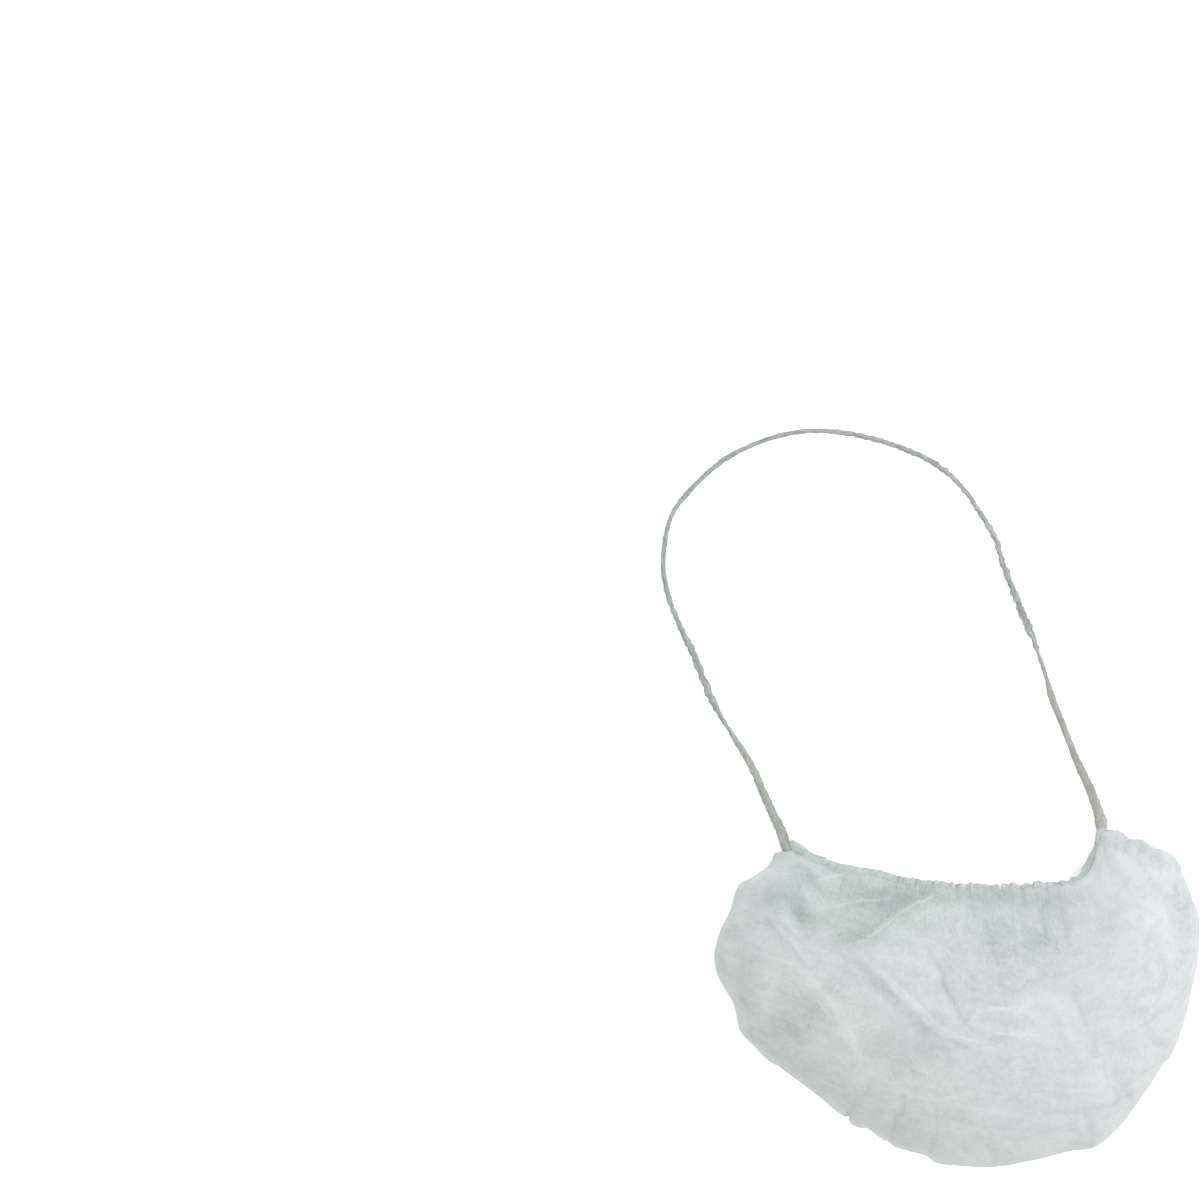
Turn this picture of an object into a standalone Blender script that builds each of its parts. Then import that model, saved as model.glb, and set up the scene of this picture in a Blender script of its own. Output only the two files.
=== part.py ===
"""Disposable beard cover: a puffed pouch of thin spunbond cloth, a gathered elastic mouth and a head loop.

It lies on a table, seen from above as it is laid down: the back layer is flat on the surface z = 0, the
front layer stands up in a soft puff, the mouth opens towards +Y and the loop lies on the table beyond it.
Lengths are metres, +Z is up, and the origin is on the table under the middle of the pouch.
"""

import bpy
import numpy as np

# Driving sizes
POUCH_WIDTH = 0.220  # side to side, over both cheeks of the pouch
POUCH_DEPTH = 0.1547  # from the right-hand attachment down to the lowest point of the rim
PUFF_HEIGHT = 0.048  # highest point of the front layer over the table
CLOTH = 0.001  # wall, thin cloth with its crinkles
MOUTH_LIFT = 0.020  # front edge of the mouth over the table, at the middle
CROWN_AT = 0.42  # share of the way from mouth to rim where a section is highest
CROWN_FULLNESS = 0.85  # power of the arc from crown to rim; below 1 is fuller than an ellipse
RIM_RISE = 0.32  # height of the widest line of the pouch, as a share of a section's height
RIM_TUCK = 0.015  # how far the underside of the rim rolls in before it meets the table
BACK_SETBACK = 0.03  # share of a section by which the back edge of the mouth lies behind the front edge
MOUTH_ANGLE = np.radians(65)  # how steeply the front layer leaves the mouth

# Folds of the front layer
FOLD_HEIGHT = 0.004
FOLD_WIDTH = 0.008
FOLD_FADE_ROWS = 3  # rows behind the mouth over which the folds rise
FOLD_FADE_CORNER = 0.05  # share of the columns at each corner over which they rise

# Elastic hem round the mouth
HEM_WIDTH = 0.0045
HEM_THICKNESS = 0.0016
HEM_DROOP = np.radians(32)  # how far the lifted hem hangs below level, at the middle of the mouth
RUFFLE_HEIGHT = 0.0011
RUFFLE_PITCH = 0.0044

# Bunched cloth at the two corners, and the loop
GATHER_LENGTH = 0.0040
GATHER_FILL = 0.45  # half size of the bunch, as a share of the pouch's end
GATHER_BULGE = 0.25
PLEATS = 6
PLEAT_DEPTH = 0.12
LOOP_DIAMETER = 0.0036
LOOP_POINT_PITCH = 2.5  # in loop diameters
PIECE_GAP = 0.0003

# Resolution
COLUMNS = 62  # along the mouth
PUFF_ROWS, RIM_ROWS, BACK_ROWS = 15, 4, 7
HEM_SIDES = 6
RUFFLE_STEPS = 4  # rings in one ruffle
GATHER_SIDES = 18
GATHER_RINGS = 6
CURVE_STEPS = 40  # fine steps between two rows of a table, for measuring along it

# The pouch from its left corner to its right corner, a row for each section, seen from above.
# mouth and rim are places, as shares of POUCH_WIDTH and POUCH_DEPTH; crown is a share of PUFF_HEIGHT,
# lift of MOUTH_LIFT, hem of HEM_WIDTH and ruffle of RUFFLE_HEIGHT.
SECTION_COLUMNS = ("mouth_x", "mouth_y", "rim_x", "rim_y", "crown", "lift", "hem", "ruffle")
SECTIONS = np.array([
    (-0.335, 0.432, -0.376, 0.422, 0.13, 0.17, 0.70, 0.05),
    (-0.324, 0.417, -0.415, 0.344, 0.22, 0.22, 0.85, 0.15),
    (-0.310, 0.403, -0.465, 0.273, 0.36, 0.30, 0.95, 0.20),
    (-0.281, 0.388, -0.501, 0.125, 0.56, 0.42, 1.00, 0.20),
    (-0.235, 0.370, -0.469, -0.016, 0.74, 0.56, 1.00, 0.20),
    (-0.175, 0.353, -0.393, -0.178, 0.87, 0.70, 1.00, 0.35),
    (-0.113, 0.329, -0.258, -0.323, 0.95, 0.84, 1.00, 0.65),
    (-0.040, 0.314, -0.119, -0.447, 0.99, 0.94, 1.00, 0.90),
    (0.026, 0.308, 0.043, -0.500, 1.00, 1.00, 1.00, 1.00),
    (0.095, 0.308, 0.209, -0.459, 1.00, 1.00, 1.00, 1.00),
    (0.161, 0.311, 0.334, -0.355, 0.99, 0.97, 0.95, 0.95),
    (0.219, 0.323, 0.437, -0.173, 0.95, 0.90, 0.80, 0.70),
    (0.257, 0.347, 0.499, 0.111, 0.87, 0.78, 0.60, 0.25),
    (0.277, 0.376, 0.491, 0.288, 0.73, 0.60, 0.60, 0.10),
    (0.288, 0.414, 0.443, 0.414, 0.50, 0.42, 0.60, 0.10),
    (0.296, 0.450, 0.375, 0.465, 0.27, 0.26, 0.55, 0.10),
    (0.294, 0.482, 0.315, 0.493, 0.13, 0.17, 0.50, 0.05),
])

# Folds, each a soft ridge (height above 0) or valley (below 0) along a straight line seen from above.
# Places are shares of POUCH_WIDTH and POUCH_DEPTH; height is a share of FOLD_HEIGHT, width of FOLD_WIDTH.
FOLD_COLUMNS = ("from_x", "from_y", "to_x", "to_y", "height", "width")
FOLDS = np.array([
    (-0.268, 0.131, -0.025, 0.300, 0.85, 0.90),  # crest from the left cheek up to the hem
    (-0.223, 0.125, -0.025, -0.140, -1.00, 1.10),  # long valley under that crest
    (-0.057, -0.102, 0.182, -0.131, 0.90, 1.00),  # ridge across the middle
    (-0.005, 0.235, 0.244, 0.245, -0.90, 1.60),  # hollow behind the ruffled hem
    (-0.040, 0.111, 0.000, -0.052, -0.75, 1.00),
    (-0.399, 0.273, -0.326, 0.111, 0.65, 0.80),  # lobes below the left corner
    (-0.347, 0.273, -0.295, 0.184, -0.75, 0.85),
    (-0.160, -0.229, -0.223, -0.361, -1.25, 0.80),  # notch in the lower left rim
    (-0.440, 0.155, -0.389, -0.111, -0.65, 1.00),
    (-0.326, -0.037, -0.233, -0.258, -0.75, 0.90),
    (-0.036, -0.243, 0.006, -0.479, -0.85, 1.00),
    (0.109, -0.184, 0.244, -0.420, -1.00, 1.10),
    (0.338, -0.007, 0.431, -0.155, -0.75, 1.00),
    (0.333, 0.420, 0.458, 0.273, -0.75, 0.80),  # fan of folds out of the right corner
    (0.317, 0.400, 0.400, 0.111, -0.75, 0.80),
    (0.302, 0.370, 0.296, 0.037, -0.60, 0.90),
])

# The loop's route over the table from the left corner to the right one, at its real length.
LOOP_ROUTE = [
    (-0.0798, 0.0746), (-0.0827, 0.0801), (-0.0877, 0.0906), (-0.0941, 0.1057), (-0.1019, 0.1180),
    (-0.1115, 0.1340), (-0.1201, 0.1554), (-0.1293, 0.1750), (-0.1343, 0.1947), (-0.1316, 0.2166),
    (-0.1238, 0.2289), (-0.1051, 0.2458), (-0.0795, 0.2563), (-0.0553, 0.2576), (-0.0243, 0.2499),
    (-0.0015, 0.2362), (0.0168, 0.2102), (0.0204, 0.1978), (0.0314, 0.1709), (0.0396, 0.1490),
    (0.0432, 0.1358), (0.0492, 0.1212), (0.0547, 0.1066), (0.0606, 0.0947), (0.0644, 0.0828),
]

UP = np.array((0.0, 0.0, 1.0))


def clear_scene():
    for found in list(bpy.data.objects):
        bpy.data.objects.remove(found, do_unlink=True)


def cloth_material(name, colour, roughness=0.85):
    """A matte Principled material without metal."""
    material = bpy.data.materials.new(name)
    material.use_nodes = True
    shader = material.node_tree.nodes["Principled BSDF"]
    shader.inputs["Base Color"].default_value = (*colour, 1.0)
    shader.inputs["Roughness"].default_value = roughness
    shader.inputs["Metallic"].default_value = 0.0
    return material


def add_object(name, data, material):
    data.materials.append(material)
    made = bpy.data.objects.new(name, data)
    bpy.context.scene.collection.objects.link(made)
    return made


def smooth_rows(rows, at):
    """Rows of a table read at fractional row numbers: a Catmull-Rom cubic through each column."""
    rows = np.asarray(rows, float)
    padded = np.vstack((2 * rows[0] - rows[1], rows, 2 * rows[-1] - rows[-2]))
    first = np.clip(np.floor(at).astype(int), 0, len(rows) - 2)
    t = (at - first)[:, None]
    before, start, end, after = (padded[first + k] for k in range(4))
    return 0.5 * (
        2 * start
        + (end - before) * t
        + (2 * before - 5 * start + 4 * end - after) * t**2
        + (3 * start - before - 3 * end + after) * t**3
    )


def even_rows(rows, count, measure=slice(None)):
    """count row numbers, fractional, that step evenly along the table's smooth curve.

    measure picks the columns that the step is measured in.
    """
    fine = np.linspace(0, len(rows) - 1, CURVE_STEPS * len(rows))
    track = smooth_rows(rows, fine)[:, measure]
    travelled = np.r_[0, np.cumsum(np.linalg.norm(np.diff(track, axis=0), axis=1))]
    return np.interp(np.linspace(0, travelled[-1], count), travelled, fine)


def unit(vectors):
    return vectors / np.linalg.norm(vectors, axis=-1, keepdims=True)


def read_sections(at):
    """The section table at fractional rows, as a dictionary of columns in metres."""
    size = {
        "mouth_x": POUCH_WIDTH,
        "mouth_y": POUCH_DEPTH,
        "rim_x": POUCH_WIDTH,
        "rim_y": POUCH_DEPTH,
        "crown": PUFF_HEIGHT,
        "lift": MOUTH_LIFT,
        "hem": HEM_WIDTH,
        "ruffle": RUFFLE_HEIGHT,
    }
    columns = smooth_rows(SECTIONS, at).T
    return {name: column * size[name] for name, column in zip(SECTION_COLUMNS, columns)}


def section_curve(reach, crown, lift):
    """One section of the pouch, closed but for the mouth: shares of the way from mouth to rim, and heights.

    The front layer is two arcs that meet level at the crown. From mouth to crown the share is
    CROWN_AT * (1 + sin(a) / sin(MOUTH_ANGLE)) and the height runs with cos(a) from lift to crown, for a from
    -MOUTH_ANGLE to 0. From crown to rim the share is CROWN_AT + (1 - CROWN_AT) * sin(a) and the height falls
    with cos(a) ** CROWN_FULLNESS to the rim's height, for a from 0 to a quarter turn. The rim's underside
    is a quarter ellipse down to the table, and the back layer is flat on it.
    """
    reach, crown, lift = (column[:, None] for column in (reach, crown, lift))
    rim = RIM_RISE * crown
    tuck = RIM_TUCK / (RIM_TUCK + reach)
    angle = np.linspace(-MOUTH_ANGLE, np.pi / 2, PUFF_ROWS)[None]
    rising = angle < 0
    share = np.where(
        rising,
        CROWN_AT * (1 + np.sin(angle) / np.sin(MOUTH_ANGLE)),
        CROWN_AT + (1 - CROWN_AT) * np.sin(angle),
    )
    level = np.clip(np.cos(angle), 0, 1)
    start = np.cos(MOUTH_ANGLE)
    height = np.where(
        rising,
        lift + (crown - lift) * (level - start) / (1 - start),
        rim + (crown - rim) * level**CROWN_FULLNESS,
    )
    under = np.linspace(0, np.pi / 2, RIM_ROWS + 1)[None, 1:]
    under_share = 1 - tuck * (1 - np.cos(under))
    under_height = rim * (1 - np.sin(under))
    back = np.linspace(0, 1, BACK_ROWS + 1)[None, 1:]
    back_share = (1 - tuck) + (BACK_SETBACK - (1 - tuck)) * back
    share = np.hstack((np.broadcast_to(share, height.shape), under_share, back_share))
    return share, np.hstack((height, under_height, np.zeros_like(back_share)))


def distance_to_line(x, y, start, end):
    """Distance in plan from each place to the straight line from start to end."""
    along = np.subtract(end, start)
    share = ((x - start[0]) * along[0] + (y - start[1]) * along[1]) / (along @ along)
    share = np.clip(share, 0, 1)
    return np.hypot(x - start[0] - share * along[0], y - start[1] - share * along[1])


def fold_height(x, y):
    """Sum of the folds at each place: height * exp(-(distance / width) ** 2)."""
    total = np.zeros_like(x)
    for row in FOLDS:
        fold = dict(zip(FOLD_COLUMNS, row))
        start = (fold["from_x"] * POUCH_WIDTH, fold["from_y"] * POUCH_DEPTH)
        end = (fold["to_x"] * POUCH_WIDTH, fold["to_y"] * POUCH_DEPTH)
        distance = distance_to_line(x, y, start, end)
        total += fold["height"] * FOLD_HEIGHT * np.exp(-((distance / (fold["width"] * FOLD_WIDTH)) ** 2))
    return total


def outward_normals(grid):
    """Unit normals of a grid of points, pointing out of the pouch."""
    along, across = np.gradient(grid, axis=0), np.gradient(grid, axis=1)
    return unit(np.cross(across, along))


def pouch_surface(at):
    """The pouch's outer surface as a grid: columns from corner to corner, rows from front to back edge."""
    section = read_sections(at)
    mouth = np.stack((section["mouth_x"], section["mouth_y"]), axis=-1)
    rim = np.stack((section["rim_x"], section["rim_y"]), axis=-1)
    reach = np.linalg.norm(rim - mouth, axis=-1)
    share, height = section_curve(reach, section["crown"], section["lift"])
    place = mouth[:, None] + share[..., None] * (rim - mouth)[:, None]
    smooth = np.dstack((place, height))

    # Folds swell the front layer and the rim, and fade out at the mouth, at both corners and under the rim.
    row = np.arange(share.shape[1])
    front = np.clip(row / FOLD_FADE_ROWS, 0, 1) * np.clip((PUFF_ROWS + 1 - row) / 2, 0, 1)
    column = np.linspace(0, 1, len(at))
    corner = np.clip(np.minimum(column, 1 - column) / FOLD_FADE_CORNER, 0, 1)
    swell = fold_height(smooth[..., 0], smooth[..., 1]) * front[None] * corner[:, None]
    folded = smooth + swell[..., None] * outward_normals(smooth)
    folded[..., 2] = np.maximum(folded[..., 2], 0)
    return folded


def grid_quads(columns, rows, ring=False):
    """Quads over a grid whose points run row by row in each column; ring joins the last row to the first."""
    column, row = np.meshgrid(np.arange(columns - 1), np.arange(rows if ring else rows - 1), indexing="ij")
    here, following = column * rows, (row + 1) % rows
    corners = (here + row, here + following, here + rows + following, here + rows + row)
    return np.stack(corners, axis=-1).reshape(-1, 4)


def mesh_from(name, points, faces):
    mesh = bpy.data.meshes.new(name)
    mesh.from_pydata(points.reshape(-1, 3).tolist(), [], [list(face) for face in faces])
    mesh.update()
    mesh.shade_smooth()
    return mesh


def make_pouch(at):
    """The pouch: its outer surface, thickened inwards by the cloth."""
    grid = pouch_surface(at)
    pouch = add_object(
        "pouch",
        mesh_from("pouch", grid, grid_quads(*grid.shape[:2])),
        cloth_material("pouch_cloth", (0.66, 0.72, 0.70)),
    )
    wall = pouch.modifiers.new("cloth", "SOLIDIFY")
    wall.thickness = CLOTH
    wall.offset = -1
    return grid


def tube(name, rings, material):
    """A closed piece through rings of points, which run right-handed about its length, with flat caps."""
    count, sides = rings.shape[:2]
    faces = grid_quads(count, sides, ring=True).tolist()
    faces.append(list(reversed(range(sides))))
    faces.append([(count - 1) * sides + side for side in range(sides)])
    return add_object(name, mesh_from(name, rings, faces), material)


def make_hem(name, seam, outward, droop, width, ruffle, floor_side):
    """A hem along a seam: an oval tube whose free edge goes up and down in ruffles.

    Around a ring, for a turn a from 0 to 2 pi, a point lies PIECE_GAP + width * (1 + cos(a)) / 2 out from the
    seam and HEM_THICKNESS / 2 * sin(a) off its plane, and the ruffle adds height * sin(2 pi * length / pitch)
    that grows from nothing at the seam to all of it at the free edge. The floor side only rises.
    """
    length = np.r_[0, np.cumsum(np.linalg.norm(np.diff(seam, axis=0), axis=1))]
    rings = RUFFLE_STEPS * max(1, round(length[-1] / RUFFLE_PITCH)) + 1
    here = np.linspace(0, length[-1], rings)

    def spread(values):
        return np.stack([np.interp(here, length, column) for column in np.atleast_2d(values.T)], axis=-1)

    seam, outward = spread(seam), unit(spread(outward))
    droop, width, ruffle = spread(droop), spread(width), spread(ruffle)
    away = outward * np.cos(droop) - UP * np.sin(droop)
    normal = UP * np.cos(droop) + outward * np.sin(droop)
    wave = np.sin(2 * np.pi / RUFFLE_STEPS * np.arange(rings))[:, None]
    if floor_side:
        wave = (1 + wave) / 2
    turn = np.linspace(0, 2 * np.pi, HEM_SIDES, endpoint=False)[None]
    free = (1 + np.cos(turn)) / 2
    out = PIECE_GAP + width * free
    off = HEM_THICKNESS / 2 * np.sin(turn) + ruffle * wave * free
    points = seam[:, None] + out[..., None] * away[:, None] + off[..., None] * normal[:, None]
    tube(name, points, cloth_material(f"{name}_cloth", (0.60, 0.68, 0.65)))


def make_gather(name, section, outside, toward, colour):
    """The bunched cloth on a corner, between the pouch's end and the loop; returns where the loop starts.

    Its middle line leaves the pouch's end square and turns half way to point at the loop's next place.
    Round a ring, for a turn a, the radius is 1 + depth * cos(PLEATS * a) where the bunch meets the pouch,
    smoothing out and narrowing to the loop, with a bulge half way.
    """
    across = (section[PUFF_ROWS - 1] - section[0]) * (1, 1, 0)
    height = section[:, 2].max()
    leave = unit(np.cross(UP, across))
    leave = leave * np.sign(leave @ outside)
    middle = (section[0] + section[PUFF_ROWS - 1]) / 2
    middle[2] = height / 2
    begin = middle + PIECE_GAP * leave
    bend = begin + leave * GATHER_LENGTH / 2
    arrive = unit(toward - bend)
    finish = bend + arrive * GATHER_LENGTH / 2

    t = np.linspace(0, 1, GATHER_RINGS)[:, None]
    centre = (1 - t) ** 2 * begin + 2 * t * (1 - t) * bend + t**2 * finish
    forward = unit((1 - t) * leave + t * arrive)
    side = unit(np.cross(UP, forward))
    upward = np.cross(forward, side)
    turn = np.linspace(0, 2 * np.pi, GATHER_SIDES, endpoint=False)[None]
    pleat = 1 + PLEAT_DEPTH * (1 - t) * np.cos(PLEATS * turn)
    swell = 1 + GATHER_BULGE * np.sin(np.pi * t)
    end = LOOP_DIAMETER / 2
    half_width, half_height = GATHER_FILL * np.linalg.norm(across), GATHER_FILL * height
    wide = (half_width + (end - half_width) * t) * swell * pleat * np.cos(turn)
    high = (half_height + (end - half_height) * t) * pleat * np.sin(turn)
    points = centre[:, None] + wide[..., None] * side[:, None] + high[..., None] * upward[:, None]
    tube(name, points, cloth_material(f"{name}_cloth", colour))
    return finish + PIECE_GAP * arrive


def lying_route():
    """The loop's route at the height of a cord that lies on the table."""
    return [np.array((x, y, LOOP_DIAMETER / 2)) for x, y in LOOP_ROUTE]


def make_loop(start, end):
    """The head loop: a round cord on a smooth curve through its route, lying on the table."""
    route = np.array([start, *lying_route(), end])
    fine = smooth_rows(route, np.linspace(0, len(route) - 1, CURVE_STEPS * len(route)))
    length = np.linalg.norm(np.diff(fine, axis=0), axis=1).sum()
    points = smooth_rows(route, even_rows(route, 1 + round(length / (LOOP_POINT_PITCH * LOOP_DIAMETER))))
    points[:, 2] = np.maximum(points[:, 2], LOOP_DIAMETER / 2)
    curve = bpy.data.curves.new("head_loop", "CURVE")
    curve.dimensions = "3D"
    curve.bevel_depth = LOOP_DIAMETER / 2
    curve.bevel_resolution = 2
    curve.use_fill_caps = True
    spline = curve.splines.new("POLY")
    spline.points.add(len(points) - 1)
    for point, place in zip(spline.points, points):
        point.co = (*place, 1.0)
    add_object("head_loop", curve, cloth_material("loop_cloth", (0.44, 0.50, 0.46)))


def make_all():
    clear_scene()
    at = even_rows(SECTIONS, COLUMNS, measure=slice(2, 4))
    section = read_sections(at)
    grid = make_pouch(at)

    # The hems follow the middle of the wall along both edges of the mouth.
    wall = outward_normals(grid) * CLOTH / 2
    front, back = grid[:, 0] - wall[:, 0], grid[:, -1] - wall[:, -1]
    back[:, 2] = HEM_THICKNESS / 2
    outward = unit((grid[:, 0] - grid[:, PUFF_ROWS - 1]) * (1, 1, 0))
    droop = HEM_DROOP * section["lift"] / MOUTH_LIFT
    level = np.zeros_like(droop)
    make_hem("mouth_edge_front", front, outward, droop, section["hem"], section["ruffle"], False)
    make_hem("mouth_edge_back", back, outward, level, section["hem"], section["ruffle"], True)

    first, *_, last = lying_route()
    left = make_gather("left_gather", grid[0], grid[0, 0] - grid[1, 0], first, (0.62, 0.69, 0.66))
    right = make_gather("right_gather", grid[-1], grid[-1, 0] - grid[-2, 0], last, (0.52, 0.50, 0.44))
    make_loop(left, right)


make_all()
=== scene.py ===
"""Disposable beard cover of thin spunbond cloth, laid on a pale table and seen from straight above.

Lengths are metres. +Z is up, +Y goes out of the mouth towards the head loop, and the table is z = 0.
"""

import bpy
import numpy as np
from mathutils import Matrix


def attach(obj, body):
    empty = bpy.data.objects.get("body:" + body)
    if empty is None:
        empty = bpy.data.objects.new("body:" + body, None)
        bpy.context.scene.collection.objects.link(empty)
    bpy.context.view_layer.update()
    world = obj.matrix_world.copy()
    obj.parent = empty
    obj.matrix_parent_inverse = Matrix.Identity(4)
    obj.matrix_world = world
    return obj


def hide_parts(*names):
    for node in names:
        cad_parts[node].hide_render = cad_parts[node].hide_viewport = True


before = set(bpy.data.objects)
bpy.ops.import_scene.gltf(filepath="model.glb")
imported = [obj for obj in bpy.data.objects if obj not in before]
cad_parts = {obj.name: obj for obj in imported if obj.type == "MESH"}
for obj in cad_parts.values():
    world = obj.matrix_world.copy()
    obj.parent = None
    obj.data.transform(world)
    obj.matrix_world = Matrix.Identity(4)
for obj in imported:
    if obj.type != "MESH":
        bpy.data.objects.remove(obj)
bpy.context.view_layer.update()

# Main sizes, the same as the solids have
POUCH_WIDTH = 0.220
POUCH_DEPTH = 0.1547
PUFF_HEIGHT = 0.048
MOUTH_LIFT = 0.020
CROWN_AT = 0.42
CROWN_FULLNESS = 0.85
RIM_RISE = 0.32
RIM_TUCK = 0.015
BACK_SETBACK = 0.03
MOUTH_ANGLE = np.radians(65)
HEM_WIDTH = 0.0045
HEM_THICKNESS = 0.0018
HEM_DROOP = np.radians(32)
CLOTH = 0.0003

# Fineness of the grids
COLUMNS = 301
PUFF_ROWS = 119
RIM_ROWS = 10
BACK_ROWS = 20
COARSER = 2  # steps of the fine grid in one step of the grid that is simulated
CURVE_STEPS = 40

UP = np.array((0.0, 0.0, 1.0))
VIEW_FROM = np.array((-0.1622, 0.1810, 3.043))  # where the camera stands above the table

# The cloth's settling
EXTRA_CLOTH = 0.03  # how much larger the cloth is than the form it hangs in
GATHERED_CLOTH = 0.45  # how much more at the mouth
GATHER_DEPTH = 0.022  # how far down from the mouth that fades
HOLD = 0.02  # weight of the springs to each point's own place
PRESSURE = 0.4
SETTLING_FRAMES = 24
SCALLOP_DEPTH = 0.006  # how far in from the rim its small scallops fade
EDGE_REACH = 0.0036  # how far the cloth lies out over the ruffled part of the hem
MOST_MOVE = 0.006
LEFT_END_PRESSED = 0.6  # height that is left of the pouch's left end, where the loop goes in

# The pouch from its left corner to its right corner: mouth and rim places as shares of the width and depth,
# then shares of the puff's height, the mouth's lift, the hem's width and the ruffle's height.
SECTION_COLUMNS = ("mouth_x", "mouth_y", "rim_x", "rim_y", "crown", "lift", "hem", "ruffle")
SECTIONS = np.array([
    (-0.335, 0.432, -0.376, 0.422, 0.13, 0.17, 0.70, 0.05),
    (-0.324, 0.417, -0.415, 0.344, 0.22, 0.22, 0.85, 0.15),
    (-0.310, 0.403, -0.465, 0.273, 0.36, 0.30, 0.95, 0.20),
    (-0.281, 0.388, -0.501, 0.125, 0.56, 0.42, 1.00, 0.20),
    (-0.235, 0.370, -0.469, -0.016, 0.74, 0.56, 1.00, 0.20),
    (-0.175, 0.353, -0.393, -0.178, 0.87, 0.70, 1.00, 0.35),
    (-0.113, 0.329, -0.258, -0.323, 0.95, 0.84, 1.15, 0.50),
    (-0.040, 0.314, -0.119, -0.447, 0.99, 0.94, 1.10, 0.90),
    (0.026, 0.308, 0.043, -0.500, 1.00, 1.00, 1.00, 1.00),
    (0.095, 0.308, 0.209, -0.459, 1.00, 1.00, 1.00, 1.00),
    (0.161, 0.311, 0.334, -0.355, 0.99, 0.97, 0.95, 0.95),
    (0.219, 0.323, 0.437, -0.173, 0.95, 0.90, 0.80, 0.70),
    (0.257, 0.347, 0.499, 0.111, 0.87, 0.78, 0.66, 0.25),
    (0.277, 0.376, 0.491, 0.288, 0.73, 0.60, 1.00, 0.10),
    (0.288, 0.414, 0.443, 0.414, 0.50, 0.42, 0.88, 0.10),
    (0.296, 0.450, 0.375, 0.465, 0.27, 0.26, 0.55, 0.10),
    (0.294, 0.482, 0.315, 0.493, 0.13, 0.17, 0.50, 0.05),
])

# The rim as it is seen from above, from the left corner round to the right one, in millimetres.
RIM = np.array([
    (-82.8, 65.6), (-83.7, 62.4), (-86.6, 59.0), (-92.5, 54.8), (-98.2, 51.8), (-100.8, 47.0), (-102.6, 40.0),
    (-105.3, 34.8), (-107.4, 30.8), (-109.2, 24.5), (-110.1, 19.4), (-109.8, 14.5), (-108.7, 10.3),
    (-105.2, 3.5), (-102.3, -1.1), (-100.3, -8.0), (-98.2, -15.7), (-92.0, -22.3), (-85.5, -28.5),
    (-80.9, -31.0), (-76.3, -34.5), (-70.0, -39.0), (-64.0, -43.6), (-60.2, -46.6), (-56.7, -50.0),
    (-51.2, -53.6), (-49.1, -53.2), (-48.5, -56.8), (-44.5, -58.6), (-40.7, -59.1), (-37.0, -61.8),
    (-33.4, -64.6), (-31.5, -64.8), (-28.4, -67.4), (-21.6, -69.3), (-14.7, -71.1), (-9.2, -74.8),
    (2.0, -76.2), (12.7, -76.7), (22.0, -76.0), (30.0, -74.3), (37.8, -72.6), (46.0, -70.4), (52.8, -68.6),
    (60.8, -68.1), (66.0, -65.4), (73.1, -58.9), (79.4, -51.5), (84.9, -43.2), (89.7, -35.9),
    (93.0, -30.2), (95.2, -28.1), (97.1, -26.2), (101.7, -14.8), (104.2, -6.0), (106.2, 3.4), (108.6, 14.0),
    (109.9, 24.0), (110.0, 33.1), (109.5, 38.2), (108.5, 42.2), (107.2, 44.2), (105.8, 49.0), (104.0, 53.6),
    (102.3, 56.6), (101.9, 60.3), (98.6, 64.8), (93.9, 67.3), (89.6, 68.3), (86.2, 71.0), (83.9, 71.9),
    (79.5, 72.1), (77.5, 73.7), (74.8, 75.9), (72.9, 76.0), (69.4, 76.3),
]) / 1000

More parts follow.
